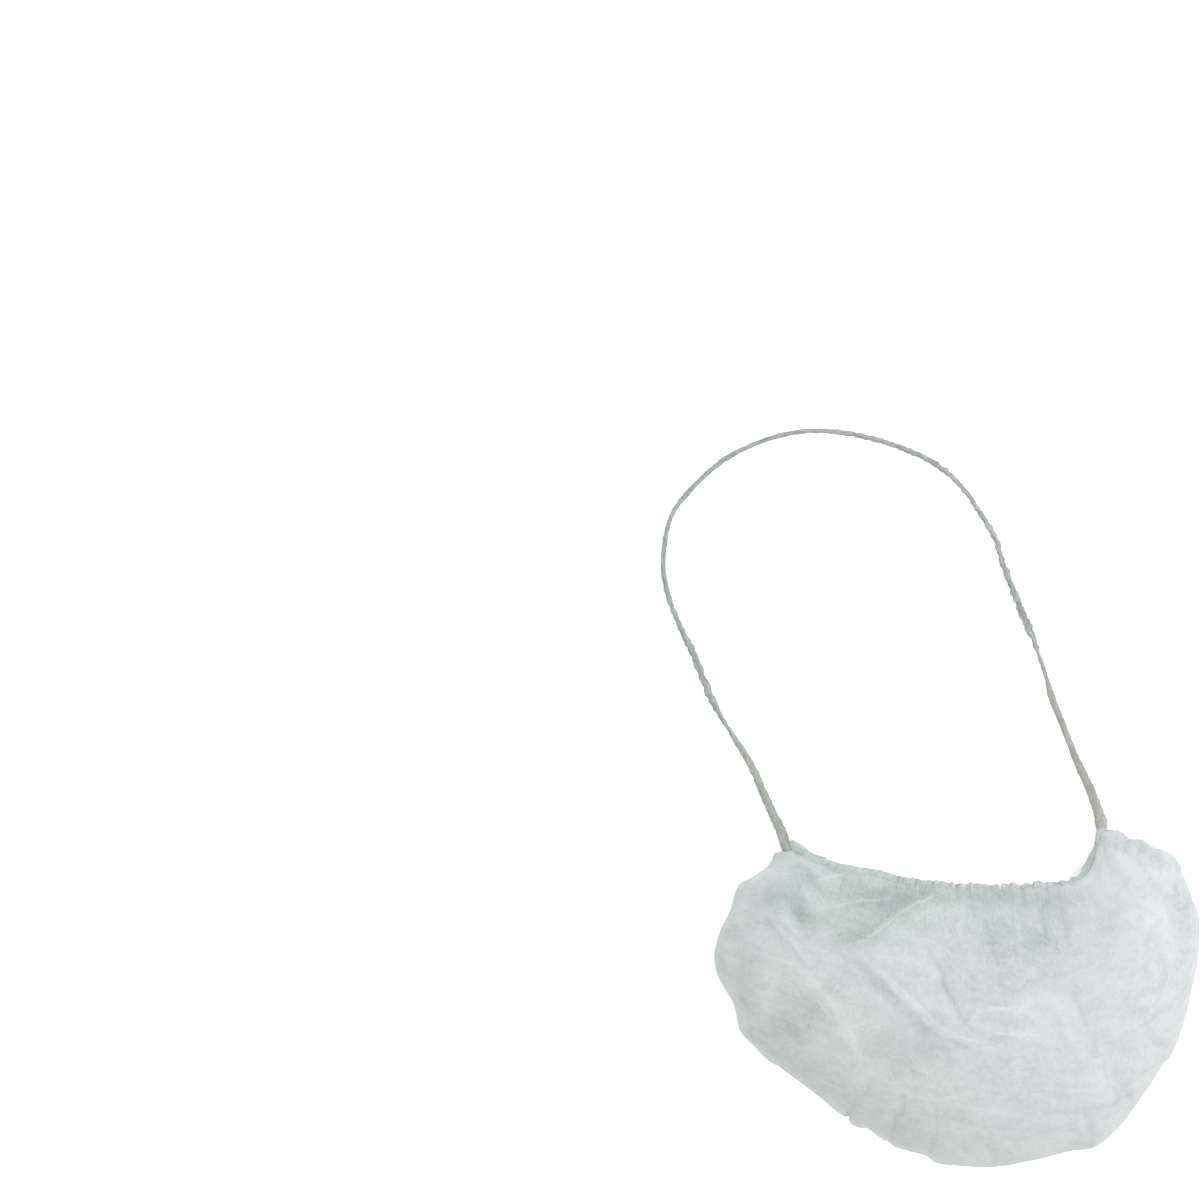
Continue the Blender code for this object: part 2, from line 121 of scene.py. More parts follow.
# Folds of the front layer: height, half width and crest sharpness in millimetres, then places it runs through.
FOLDS = [
    # Crest from the left cheek up to the hem
    (1.7, 2, 0.3, [(-55.8, 20.3), (-43.5, 25.3), (-24.8, 39), (-10.2, 46.8), (-0.6, 50.9)]),
    (0.6, 1, 0.2, [(-33.9, 42.2), (-26.6, 47.7), (-19.3, 52.7)]),
    # Edge of the upper fold, where it lies over the lower cloth
    (1.4, 1.6, 0.3, [(-43.9, 19.4), (-31.6, 7.1), (-19.3, -4.8), (-9.7, -14.4), (-0.6, -18.9), (10.4, -23.5), (22.2, -23.5)]),
    (-1.7, 2.8, 1.2, [(-48.9, 17.1), (-36.2, 4.3), (-23.4, -8.4), (-12.4, -18.5)]),
    # Valley down the middle
    (-1.5, 2, 0.5, [(-8.8, 17.1), (-4.2, 2.5), (3.5, -12.1)]),
    # Almond of two ridges
    (1.1, 1.4, 0.3, [(6.7, -13.9), (8.1, -8.4), (15.9, -5.2), (30, -7.1), (38.7, -11.2)]),
    (1.2, 1.4, 0.3, [(6.3, -13.5), (20.9, -16.7), (36.4, -20.3), (45.1, -21.7)]),
    (-0.7, 2.2, 0.8, [(14.9, -10.7), (33.2, -14.4)]),
    (-0.6, 1, 0.3, [(13.1, -2.5), (30.9, -5.2)]),
    # Short ridge low down
    (0.7, 1.4, 0.3, [(-20.7, -31.3), (-10.6, -36.3)]),
    # Ridges down the left cheek
    (1, 1.5, 0.3, [(-85, 37.2), (-73.1, 22.6), (-66.3, 14.4)]),
    (0.7, 1.2, 0.3, [(-80.4, 37.7), (-69.9, 24.9)]),
    (1.4, 4.5, 1.5, [(-80.4, 19.4), (-66.7, 8.9), (-55.8, -4.8), (-48.9, -18.5), (-41.6, -32.2)]),
    (0.7, 1.2, 0.3, [(-54.4, -1.1), (-48, -14.8), (-45.3, -24.9)]),
    # Streaks round the right cheek
    (0.9, 1.2, 0.3, [(78.4, 44.5), (89.8, 39.5), (97.6, 28.5), (100.8, 15.3)]),
    (0.8, 1.1, 0.3, [(76.6, 37.2), (85.2, 30.4), (90.7, 20.8)]),
    (0.8, 1.3, 0.3, [(94.4, 31.7), (98, 12.6), (93, -5.7)]),
    (0.6, 1.2, 0.3, [(88, 19.4), (92.1, 5.7), (88, -11.2)]),
    (-0.35, 1.4, 0.6, [(73.4, 68.2), (88.9, 53.6), (99.4, 33.1), (101.2, 10.3)]),
    (-0.4, 2.4, 0.8, [(67, 61.8), (78.8, 48.2), (87.1, 27.6), (87.1, 2.5)]),
    (-0.3, 1.4, 0.5, [(83.4, 33.1), (93.4, 19.4), (95.3, -1.1)]),
    # Valley right of the middle
    (-1.1, 2.4, 0.8, [(52.8, 9.8), (56, -4.8), (65.2, -25.8)]),
    (0.5, 4.5, 2, [(41.4, 5.7), (49.6, -10.3), (56.9, -27.6)]),
    # Faint lines along the bottom
    (0.4, 2.4, 0.6, [(-10.2, -48.2), (17.2, -52.7), (36.9, -55.9)]),
    (-0.4, 2.4, 0.8, [(-1, -56.8), (24.1, -60.5), (42.3, -59.6)]),
    (0.5, 2, 0.5, [(-26.1, -42.2), (-10.2, -46.8), (12.7, -45.9)]),
    # Notch and dents in the lower left rim
    (-0.5, 2.8, 1.2, [(-34.3, -34), (-43.5, -46.8), (-48.9, -56.4)]),
    (-0.6, 2.2, 0.8, [(-23.4, -48.2), (-31.6, -67.8)]),
    (-0.5, 2.2, 0.8, [(-7.4, -55.9), (-12, -75.1)]),
    # Pleats out of the right corner
    (0.8, 1.6, 0.4, [(65.6, 63.7), (60.1, 52.7), (52.4, 48.2)]),
    (-0.35, 1.8, 0.6, [(67, 69.1), (70.6, 54.5), (73.4, 40.8)]),
    (-0.4, 1.4, 0.5, [(69.7, 71.9), (82.5, 61.8), (93.4, 49.1)]),
    (0.4, 1.5, 0.4, [(68.3, 69.6), (77.5, 59.1), (85.2, 47.7)]),
    (0.35, 1.6, 0.5, [(66.5, 67.3), (67, 53.6), (64.2, 42.2)]),
    (-0.2, 1.7, 0.6, [(64.2, 64.6), (62, 51.3), (56, 42.2)]),
    # Upright folds behind the hem
    (-0.7, 1.8, 0.6, [(13.6, 33.1), (16.3, 22.6), (20, 12.6)]),
    (-0.6, 2, 0.6, [(37.8, 45.4), (39.6, 33.1), (41.9, 21.7)]),
    (-0.4, 1.6, 0.6, [(46.9, 43.1), (50.1, 30.8), (51.5, 21.7)]),
    (0.6, 1.6, 0.5, [(26.4, 46.8), (28.6, 33.1), (27.7, 19.4)]),
    (0.5, 1.4, 0.5, [(3.5, 44.5), (1.3, 30.8), (4.9, 19.4)]),
    # Creased three-cornered panel at the left
    (-1.3, 1.7, 0.5, [(-70.4, 61.8), (-64.9, 52.7), (-57.6, 39.9)]),
    (1, 1, 0.2, [(-67.2, 52.3), (-58.1, 54.5), (-49.4, 55.9)]),
    (0.9, 1, 0.2, [(-69.9, 39.5), (-62.6, 39.5), (-55.3, 40.8), (-46.2, 43.1), (-35.3, 44), (-26.1, 45.9)]),
    (0.6, 0.9, 0.2, [(-65.4, 50.9), (-58.1, 40.4)]),
    (0.7, 1, 0.3, [(-74.5, 60), (-69.5, 49.1), (-66.3, 41.8)]),
    (-0.8, 1.4, 0.5, [(-50.8, 55.9), (-52.6, 49.1), (-55.3, 41.8)]),
    # Dents in the left rim
    (-0.9, 2.4, 0.8, [(-108.3, 30.8), (-96.4, 25.3)]),
    (-0.4, 2.4, 0.8, [(-103.3, -1.6), (-89.1, -3)]),
    (-0.6, 3.5, 1.2, [(-95.5, 24), (-98.2, 3.4), (-85.5, -19.4)]),
    # Dents in the bottom and the right rim
    (-0.6, 2.4, 0.8, [(63.8, -68.7), (58.8, -50.4)]),
    (-0.3, 2.4, 0.8, [(17.7, -77.8), (14.9, -64.1)]),
    (-0.8, 2.2, 0.8, [(98.5, -26.2), (88, -18.5)]),
    (-0.6, 1.8, 0.6, [(109.4, 41.8), (100.8, 39.5)]),
    (-0.6, 1.5, 0.5, [(104.9, 53.2), (96.2, 48.2)]),
    (-0.7, 1.2, 0.4, [(74.7, 75.1), (72.5, 66.4)]),
    (-0.7, 1.2, 0.4, [(79.8, 72.3), (76.1, 63.7)]),
    (-0.7, 1.2, 0.4, [(86.6, 70.5), (81.6, 61.8)]),
    (-0.7, 1.2, 0.4, [(93, 67.3), (87.1, 58.2)]),
]

# Soft hollows and swells: place, half sizes, turn in degrees and height, in millimetres.
SWELLS = [
    # Hollow behind the ruffled hem
    (26.4, 35.4, 34, 12, 0, -4),
    (44.6, 23, 3.5, 3, 0, -1.2),
    # Sunken panel over the crest
    (-30.7, 39, 24, 7, 29, -2.6),
    # Swollen patch under the crest
    (-23.8, 12.6, 17, 9, -41, 2.4),
    # Round hollow in the middle
    (-13.8, -23, 14, 13, 0, -3),
    # Hollows down the left side
    (-72.7, -6.6, 10, 14, -50, -2.4),
    (-74.1, 38.1, 9, 4.5, -58, -2.4),
    # Swell of the lower middle
    (24.1, -17.1, 26, 12, -10, 1.5),
    (19.5, -42.2, 40, 14, 0, 1.2),
    # Swell of the right cheek
    (88, 21.7, 16, 30, 0, 1.5),
    (73.4, -41.3, 8, 18, 40, -1.2),
    # Swell of the left cheek
    (-90, 17.1, 10, 16, 0, 1.5),
]

# Zones of denser or thinner fibre, and of painted shade in hollows and creases and painted highlights on swells and
# ridges: place, half sizes and turn in millimetres and degrees, then the change.
FIBRE_AND_SHADING_ZONES = [
    # Thin cloth behind the hem, with painted shade of the hollow there
    (21.8, 28.5, 31, 21, 0, -0.34),
    (19.5, 46.8, 44, 5.5, 0, -0.32),
    (42.3, 24, 9, 7, 0, -0.18),
    (45.5, 40.8, 9, 8, 0, -0.24),
    (19.5, 1.1, 20, 9, 0, -0.12),
    (-5.6, 14.8, 8, 6, 0, -0.12),
    (-17.9, 33.1, 9, 5, 0, -0.24),
    (10.4, 43.6, 12, 4, 0, -0.14),
    (30, 34.5, 4, 4, 0, -0.1),
    (41.4, 13.9, 6, 4, 0, -0.12),
    (-33, 27.2, 7, 5, 0, -0.12),
    (61.5, 42.2, 8, 9, 0, 0.14),
    # Sunken panel over the crest, darkened as painted shade
    (-29.3, 45.4, 22, 8, 20, -0.46),
    (-23.8, 42.2, 16, 6, 27, -0.2),
    (-37.5, 30.8, 16, 4, 27, -0.3),
    (-49.9, 27.2, 9, 6, 20, -0.24),
    # Creased cloth at the left corner, darkened as painted shade in its creases
    (-70.4, 39, 10, 4.5, -58, -0.31),
    (-58.1, 47.7, 9, 6, 0, -0.12),
    (-68.1, 52.7, 6, 4.5, 0, -0.3),
    (-46.2, 52.7, 14, 6, -8, -0.3),
    (-39.8, 46.3, 5, 4, 0, -0.1),
    (-54.4, 42.2, 22, 13, 0, -0.17),
    (-40.3, 24.4, 5, 4, 0, -0.16),
    (-59, 34.5, 5, 4, 0, -0.2),
    (-83.6, 45.4, 6, 6, 0, -0.34),
    (-86.4, 39, 14, 8, 50, -0.12),
    (-71.8, 59.1, 5, 5, 0, -0.36),
    (-54.4, 60, 9, 3.5, -20, -0.42),
    (-79.1, 62.8, 4, 4, 0, -0.1),
    # Pale cheek at the left
    (-81.8, 31.7, 7, 5, -50, -0.08),
    # Left side: painted shade over its hollows, paler in places
    (-71.8, -8.4, 10, 15, -40, -0.36),
    (-92.3, 18.5, 7, 7, 0, -0.08),
    (-91.4, 3.4, 5, 4, 0, -0.12),
    (-86.4, -5.7, 7, 9, 0, 0.18),
    (-58.1, -3.9, 4, 5, 0, 0.2),
    (-70.4, 6.2, 6, 4, 0, 0.12),
    (-49.9, 10.3, 8, 12, -45, -0.1),
    (-66.3, -34.9, 27, 6, -37, -0.14),
    # Light band down the left, a painted highlight along the ridge there
    (-63.6, 5.7, 4, 22, -34, 0.14),
    # Round hollow, darkened as painted shade
    (-14.7, -23, 13, 11, 0, -0.16),
    (-26.1, -22.1, 8, 10, 0, -0.12),
    (-19.7, -31.3, 5, 7, 0, -0.12),
    # Bright patch under the crest: a faint painted highlight on the swollen patch, and a darker spot
    (-33, 18.5, 12, 5, -45, 0.07),
    (-25.2, 23.5, 6, 4, 0, -0.12),
    # Right cheek and the low right: a painted highlight on the cheek and painted shade in the hollow below it
    (88, 30.8, 12, 28, 0, 0.06),
    (103.5, 37.7, 6, 22, 6, -0.24),
    (64.2, -38.6, 14, 10, 30, 0.1),
    (72.9, -47.2, 9, 7, 40, -0.19),
    (60.1, -56.4, 4, 4, 0, 0.12),
    (80.2, -26.2, 5, 6, 0, -0.08),
    (35.5, -2.5, 12, 7, 0, 0.12),
    (9.9, -16.2, 4, 4, 0, 0.12),
    # Lower middle
    (25, -44, 24, 10, 0, -0.04),
    (-24.3, -62.8, 10, 6, -30, -0.19),
    # Paler cloth under the right corner, painted light that offsets the shade of its pleats, with painted shade in the
    # dents beside it
    (67.4, 55.9, 14, 10, -40, 0.2),
    (84.3, 69.1, 14, 4.5, -35, -0.34),
    (73.8, 67.8, 4, 4, 0, -0.14),
    (63.3, 57.7, 4.5, 9, 20, 0.46),
    (90.3, 49.1, 6, 6, 0, -0.08),
]

# Thin creases drawn in the cloth's colour as painted highlights along crests and painted shade along valleys: strength,
# pale above 0 and dark below, half width and places in millimetres.
CREASE_LIGHT_AND_SHADE = [
    # Crest up to the hem
    (0.28, 0.6, [(-52.1, 22.4), (-40.7, 26.2), (-20.2, 41.3), (0.3, 50)]),
    # Lines over the sunken panel
    (0.17, 0.5, [(-71.8, 37.7), (-41.6, 44), (-19.7, 44.5)]),
    (0.13, 0.45, [(-43.5, 37.2), (-23.8, 50.9)]),
    # Sides of the three-cornered panel
    (0.22, 0.5, [(-66.3, 52.5), (-50.3, 55.5)]),
    (0.18, 0.5, [(-65.4, 51.8), (-57.6, 39.9)]),
    (-0.22, 0.9, [(-71.3, 62.8), (-59, 40.4)]),
    # Ridges down the left cheek
    (0.16, 0.55, [(-85.5, 36.3), (-72.2, 19.4)]),
    (0.12, 0.7, [(-69, 11.6), (-61.3, -3.9), (-46.7, -24)]),
    # Edge of the upper fold
    (0.14, 0.6, [(-43.9, 19.4), (-24.8, 4.3), (-7.4, -13.5), (4.4, -19.4), (23.2, -23)]),
    (-0.12, 1.2, [(-43.5, 15.3), (-12.4, -14.8)]),
    # Two creases in the middle
    (0.14, 0.5, [(-5.6, 16.2), (4.4, 0.2)]),
    (-0.18, 0.8, [(-7.9, 9.8), (4.4, -10.3)]),
    # Almond of two ridges
    (0.15, 0.6, [(5.8, -14.4), (9.9, -7.5), (19.5, -5.2), (41, -4.3)]),
    (0.13, 0.6, [(5.4, -18), (28.6, -16.7), (46.9, -18.5)]),
    # Short ridge low down
    (0.14, 0.6, [(-20.2, -31.3), (-11.1, -36.7)]),
    # Pleats out of the right corner
    (0.15, 0.6, [(66.5, 67.8), (61.5, 58.2), (53.7, 50.9)]),
    (0.11, 0.6, [(70.6, 69.1), (59.2, 50.4)]),
    # Strands round the right cheek
    (0.1, 1.3, [(78.4, 45.4), (92.5, 26.2)]),
    (0.1, 1.2, [(86.1, 44.5), (97.1, 18)]),
    (0.11, 1.5, [(96.2, 18), (86.6, -6.6)]),
]

# The head loop's route over the table from the left corner to the right one, in metres.
LOOP_ROUTE = [
    (-0.0770, 0.0650), (-0.0798, 0.0746), (-0.0827, 0.0801), (-0.0877, 0.0906), (-0.0941, 0.1057),
    (-0.1019, 0.1180), (-0.1115, 0.1340), (-0.1201, 0.1554), (-0.1293, 0.1750), (-0.1343, 0.1947),
    (-0.1316, 0.2166), (-0.1238, 0.2289), (-0.1051, 0.2458), (-0.0795, 0.2563), (-0.0553, 0.2576),
    (-0.0243, 0.2499), (-0.0015, 0.2362), (0.0168, 0.2102), (0.0204, 0.1978), (0.0314, 0.1709),
    (0.0396, 0.1490), (0.0432, 0.1358), (0.0492, 0.1212), (0.0547, 0.1066), (0.0606, 0.0947),
    (0.0644, 0.0828), (0.0656, 0.0796),
]
# How far the loop lies to the side of that route, as the camera doesn't stand straight above it.
LOOP_SHIFT = np.array((0.0009, 0.0002))
# The cloth sleeve along the loop: share of the way, width in millimetres and how crinkled it is there.
LOOP_SLEEVE = [
    (0.0, 5.2, 0.3), (0.03, 5.0, 0.3), (0.06, 3.8, 0.4), (0.10, 3.6, 0.4), (0.13, 2.0, 0.9), (0.17, 3.2, 1.0),
    (0.22, 3.2, 1.0), (0.25, 2.3, 1.0), (0.30, 2.3, 0.5), (0.32, 2.6, 0.5), (0.34, 2.0, 0.5), (0.37, 2.5, 0.5),
    (0.39, 2.1, 0.5), (0.42, 2.7, 0.5), (0.44, 2.1, 0.5), (0.53, 2.2, 0.6), (0.60, 2.5, 1.0), (0.63, 2.7, 1.0),
    (0.67, 2.2, 0.9), (0.74, 2.6, 1.4), (0.80, 3.3, 1.5), (0.83, 1.8, 1.3), (0.855, 1.8, 0.6), (0.87, 3.4, 0.3),
    (0.92, 3.0, 0.3), (0.96, 4.4, 0.3), (1.0, 5.0, 0.3),
]


# Reading tables and making noise

def smooth_rows(rows, at):
    """Rows of a table read at fractional row numbers: a Catmull-Rom cubic through each column."""
    rows = np.asarray(rows, float)
    padded = np.vstack((2 * rows[0] - rows[1], rows, 2 * rows[-1] - rows[-2]))
    first = np.clip(np.floor(at).astype(int), 0, len(rows) - 2)
    t = (at - first)[:, None]
    before, start, end, after = (padded[first + k] for k in range(4))
    return 0.5 * (
        2 * start
        + (end - before) * t
        + (2 * before - 5 * start + 4 * end - after) * t**2
        + (3 * start - before - 3 * end + after) * t**3
    )


def even_rows(rows, count, measure=slice(None)):
    """count fractional row numbers that step evenly along the table's curve, measured in some columns."""
    rows = np.asarray(rows, float)
    fine = np.linspace(0, len(rows) - 1, CURVE_STEPS * len(rows))
    track = smooth_rows(rows, fine)[:, measure]
    travelled = np.r_[0, np.cumsum(np.linalg.norm(np.diff(track, axis=0), axis=1))]
    return np.interp(np.linspace(0, travelled[-1], count), travelled, fine)


def unit(vectors):
    return vectors / np.maximum(np.linalg.norm(vectors, axis=-1, keepdims=True), 1e-12)


def run_length(points):
    """Distance travelled from the first point to each point along a path."""
    return np.r_[0, np.cumsum(np.linalg.norm(np.diff(points, axis=0), axis=1))]


def step(values, low, high):
    """0 below low, 1 above high, and a smooth s-curve between them."""
    t = np.clip((values - low) / (high - low), 0, 1)
    return t * t * (3 - 2 * t)


def soft_noise(x, y, seed):
    """Gradient noise, about -0.7 to 0.7: each lattice corner has a slope, and the four are blended.

    The blend along each side is 6t^5 - 15t^4 + 10t^3.
    """
    size = 64
    turn = np.random.default_rng(seed).uniform(0, 2 * np.pi, (size, size))
    x, y = np.broadcast_arrays(x, y)
    column, row = np.floor(x).astype(int), np.floor(y).astype(int)
    u, v = x - column, y - row

    def corner(i, j):
        slope = turn[(column + i) % size, (row + j) % size]
        return np.cos(slope) * (u - i) + np.sin(slope) * (v - j)

    s, t = (w**3 * (w * (6 * w - 15) + 10) for w in (u, v))
    low = corner(0, 0) + s * (corner(1, 0) - corner(0, 0))
    high = corner(0, 1) + s * (corner(1, 1) - corner(0, 1))
    return low + t * (high - low)


def crumple(x, y, seed, octaves=3):
    """Creased noise, about -1 to 1: sharp crests where gradient noise crosses zero, finer in each octave.

    The places are bent by a slower noise first, so that no crest runs straight.
    """
    total, weight = 0, 0
    bend_x = x + 0.6 * soft_noise(x * 0.7, y * 0.7, seed + 50)
    bend_y = y + 0.6 * soft_noise(x * 0.7, y * 0.7, seed + 51)
    for octave in range(octaves):
        scale = 1.9**octave
        crest = 1 - 3.2 * np.abs(soft_noise(bend_x * scale, bend_y * scale, seed + octave))
        total = total + crest / scale**1.2
        weight += 1 / scale**1.2
    return total / weight


# Making meshes

def grid_quads(columns, rows, ring=False):
    """Quads over a grid whose points run row by row in each column; ring joins the last row to the first."""
    column, row = np.meshgrid(np.arange(columns - 1), np.arange(rows if ring else rows - 1), indexing="ij")
    here, following = column * rows, (row + 1) % rows
    corners = (here + row, here + following, here + rows + following, here + rows + row)
    return np.stack(corners, axis=-1).reshape(-1, 4)


def new_piece(name, points, faces, material, uv=None, marks=None):
    """An object at the origin from arrays of points and quads, with a UV place and marks for each point."""
    mesh = bpy.data.meshes.new(name)
    mesh.vertices.add(len(points))
    mesh.vertices.foreach_set("co", points.astype(np.float32).ravel())
    mesh.loops.add(faces.size)
    mesh.loops.foreach_set("vertex_index", faces.astype(np.int32).ravel())
    mesh.polygons.add(len(faces))
    mesh.polygons.foreach_set("loop_start", np.arange(0, faces.size, 4, dtype=np.int32))
    mesh.update(calc_edges=True)
    mesh.validate()
    mesh.shade_smooth()
    if uv is not None:
        layer = mesh.uv_layers.new(name="cloth_places")
        layer.data.foreach_set("uv", uv.astype(np.float32)[faces.ravel()].ravel())
    for label, values in (marks or {}).items():
        mark = mesh.attributes.new(label, "FLOAT", "POINT")
        mark.data.foreach_set("value", values.astype(np.float32).ravel())
    if material:
        mesh.materials.append(material)
    piece = bpy.data.objects.new(name, mesh)
    bpy.context.scene.collection.objects.link(piece)
    return piece


def grid_piece(name, grid, material, uv, marks=None):
    """A piece from a grid of points, columns by rows."""
    columns, rows = grid.shape[:2]
    flat_marks = {label: values.reshape(-1) for label, values in (marks or {}).items()}
    return new_piece(
        name, grid.reshape(-1, 3), grid_quads(columns, rows), material, uv.reshape(-1, 2), flat_marks
    )


def tube_piece(name, rings, material, uv, marks=None):
    """A closed piece through rings of points, each end drawn in to its own middle point."""
    count, sides = rings.shape[:2]
    ends = rings[[0, -1]].mean(axis=1, keepdims=True)
    closed = np.concatenate((
        np.broadcast_to(ends[0], (1, sides, 3)), rings, np.broadcast_to(ends[1], (1, sides, 3))
    ))
    uv = np.concatenate((uv[:1], uv, uv[-1:]))
    flat_marks = {
        label: np.concatenate((values[:1], values, values[-1:])).reshape(-1)
        for label, values in (marks or {}).items()
    }
    piece = new_piece(
        name, closed.reshape(-1, 3), grid_quads(count + 2, sides, ring=True), material,
        uv.reshape(-1, 2), flat_marks,
    )
    merge_doubles(piece)
    return piece


def merge_doubles(piece):
    """Joins points that lie together, so that the ends of a tube close."""
    import bmesh

    work = bmesh.new()
    work.from_mesh(piece.data)
    bmesh.ops.remove_doubles(work, verts=work.verts, dist=1e-7)
    bmesh.ops.recalc_face_normals(work, faces=work.faces)
    work.to_mesh(piece.data)
    work.free()


# The shape of the pouch

def read_sections(at):
    """The section table at fractional rows, as a dictionary of columns in metres."""
    size = {
        "mouth_x": POUCH_WIDTH,
        "mouth_y": POUCH_DEPTH,
        "rim_x": POUCH_WIDTH,
        "rim_y": POUCH_DEPTH,
        "crown": PUFF_HEIGHT,
        "lift": MOUTH_LIFT,
        "hem": HEM_WIDTH,
        "ruffle": 1.0,
    }
    columns = smooth_rows(SECTIONS, at).T
    return {name: column * size[name] for name, column in zip(SECTION_COLUMNS, columns)}


def section_curve(reach, crown, lift):
    """One section of the pouch, closed but for the mouth: shares of the way from mouth to rim, and heights.

    The front layer is two arcs that meet level at the crown. From mouth to crown the share is
    CROWN_AT * (1 + sin(a) / sin(MOUTH_ANGLE)) and the height runs with cos(a) from lift to crown. From crown
    to rim the share is CROWN_AT + (1 - CROWN_AT) * sin(a) and the height falls with
    cos(a) ** CROWN_FULLNESS. The rim's underside is a quarter ellipse, and the back layer is flat.
    """
    reach, crown, lift = (column[:, None] for column in (reach, crown, lift))
    rim = RIM_RISE * crown
    tuck = RIM_TUCK / (RIM_TUCK + reach)
    angle = np.linspace(-MOUTH_ANGLE, np.pi / 2, PUFF_ROWS)[None]
    rising = angle < 0
    share = np.where(
        rising,
        CROWN_AT * (1 + np.sin(angle) / np.sin(MOUTH_ANGLE)),
        CROWN_AT + (1 - CROWN_AT) * np.sin(angle),
    )
    level = np.clip(np.cos(angle), 0, 1)
    start = np.cos(MOUTH_ANGLE)
    height = np.where(
        rising,
        lift + (crown - lift) * (level - start) / (1 - start),
        rim + (crown - rim) * level**CROWN_FULLNESS,
    )
    under = np.linspace(0, np.pi / 2, RIM_ROWS + 1)[None, 1:]
    under_share = 1 - tuck * (1 - np.cos(under))
    under_height = rim * (1 - np.sin(under))
    back = np.linspace(0, 1, BACK_ROWS + 1)[None, 1:]
    back_share = (1 - tuck) + (BACK_SETBACK - (1 - tuck)) * back
    share = np.hstack((np.broadcast_to(share, height.shape), under_share, back_share))
    return share, np.hstack((height, under_height, np.zeros_like(back_share)))


def distance_to_path(x, y, path):
    """Distance in plan to a smooth path through some places, and the share of the path at the nearest place."""
    path = np.asarray(path, float)
    fine = smooth_rows(path, even_rows(path, max(8, 9 * len(path))))
    starts, alongs = fine[:-1], np.diff(fine, axis=0)
    best = np.full(x.shape, np.inf)
    nearest = np.zeros(x.shape)
    for number, (start, along) in enumerate(zip(starts, alongs)):
        share = np.clip(((x - start[0]) * along[0] + (y - start[1]) * along[1]) / (along @ along), 0, 1)
        distance = np.hypot(x - start[0] - share * along[0], y - start[1] - share * along[1])
        closer = distance < best
        best = np.where(closer, distance, best)
        nearest = np.where(closer, (number + share) / len(alongs), nearest)
    return best, nearest


def bent(x, y):
    """Places in millimetres moved a little by two sizes of noise, so that no fold runs quite smoothly."""
    slow, fast = 0.7, 0.35
    bent_x = x * 1000 + slow * soft_noise(x / 0.011, y / 0.011, 71) + fast * soft_noise(x / 0.0035, y / 0.0035, 72)
    bent_y = y * 1000 + slow * soft_noise(x / 0.011, y / 0.011, 73) + fast * soft_noise(x / 0.0035, y / 0.0035, 74)
    return bent_x, bent_y


def fold_height(x, y):
    """Sum of the folds at each place: height * exp(-(sqrt(d^2 + s^2) - s) / w), thinning out at both ends."""
    total = np.zeros_like(x)
    bent_x, bent_y = bent(x, y)
    for height, width, sharp, path in FOLDS:
        distance, share = distance_to_path(bent_x, bent_y, path)
        taper = np.clip(4 * share * (1 - share), 0, 1) ** 0.5
        total += height * taper * np.exp(-(np.sqrt(distance**2 + sharp**2) - sharp) / width)
    return total / 1000


def spot(x, y, place_x, place_y, wide, deep, turn):
    """A soft oval round a place in millimetres: exp(-(distance in half sizes) ^ 2)."""
    c, s = np.cos(np.radians(turn)), np.sin(np.radians(turn))
    dx, dy = x * 1000 - place_x, y * 1000 - place_y
    along, across = dx * c + dy * s, dy * c - dx * s
    return np.exp(-((along / wide) ** 2) - (across / deep) ** 2)


def swell_height(x, y):
    """Sum of the soft hollows and swells."""
    total = np.zeros_like(x)
    for place_x, place_y, wide, deep, turn, height in SWELLS:
        total += height * spot(x, y, place_x, place_y, wide, deep, turn)
    return total / 1000


def corner_fan(x, y, corner, pleats, reach, height, seed):
    """Pleats that fan out of a corner: creased noise of the angle round it, fading with distance."""
    dx, dy = x - corner[0], y - corner[1]
    angle, distance = np.arctan2(dy, dx), np.hypot(dx, dy)
    pleat = crumple(angle * pleats / (2 * np.pi) * 2, distance / reach * 1.5, seed, 2)
    return height * pleat * step(distance, 0.002, 0.010) * np.exp(-((distance / reach) ** 2))


def outward_normals(grid):
    """Unit normals of a grid of points, pointing out of the pouch."""
    along, across = np.gradient(grid, axis=0), np.gradient(grid, axis=1)
    return unit(np.cross(across, along))


def calm_line(line, width):
    """An evenly stepped line with its small bumps averaged away, its ends kept: a Gaussian width steps wide."""
    count = 3 * width
    before = 2 * line[0] - line[count:0:-1]
    after = 2 * line[-1] - line[-2:-count - 2:-1]
    padded = np.vstack((before, line, after))
    weights = np.exp(-0.5 * (np.arange(-count, count + 1) / width) ** 2)
    weights /= weights.sum()
    return np.stack([np.convolve(column, weights, "valid") for column in padded.T], axis=-1)


def seen_places(points):
    """Where points appear on the table from the camera: a point moves away from the camera's foot as it rises."""
    foot, rise = VIEW_FROM[:2], points[..., 2:3]
    seen = foot + (points[..., :2] - foot) * VIEW_FROM[2] / (VIEW_FROM[2] - rise)
    return seen[..., 0], seen[..., 1]


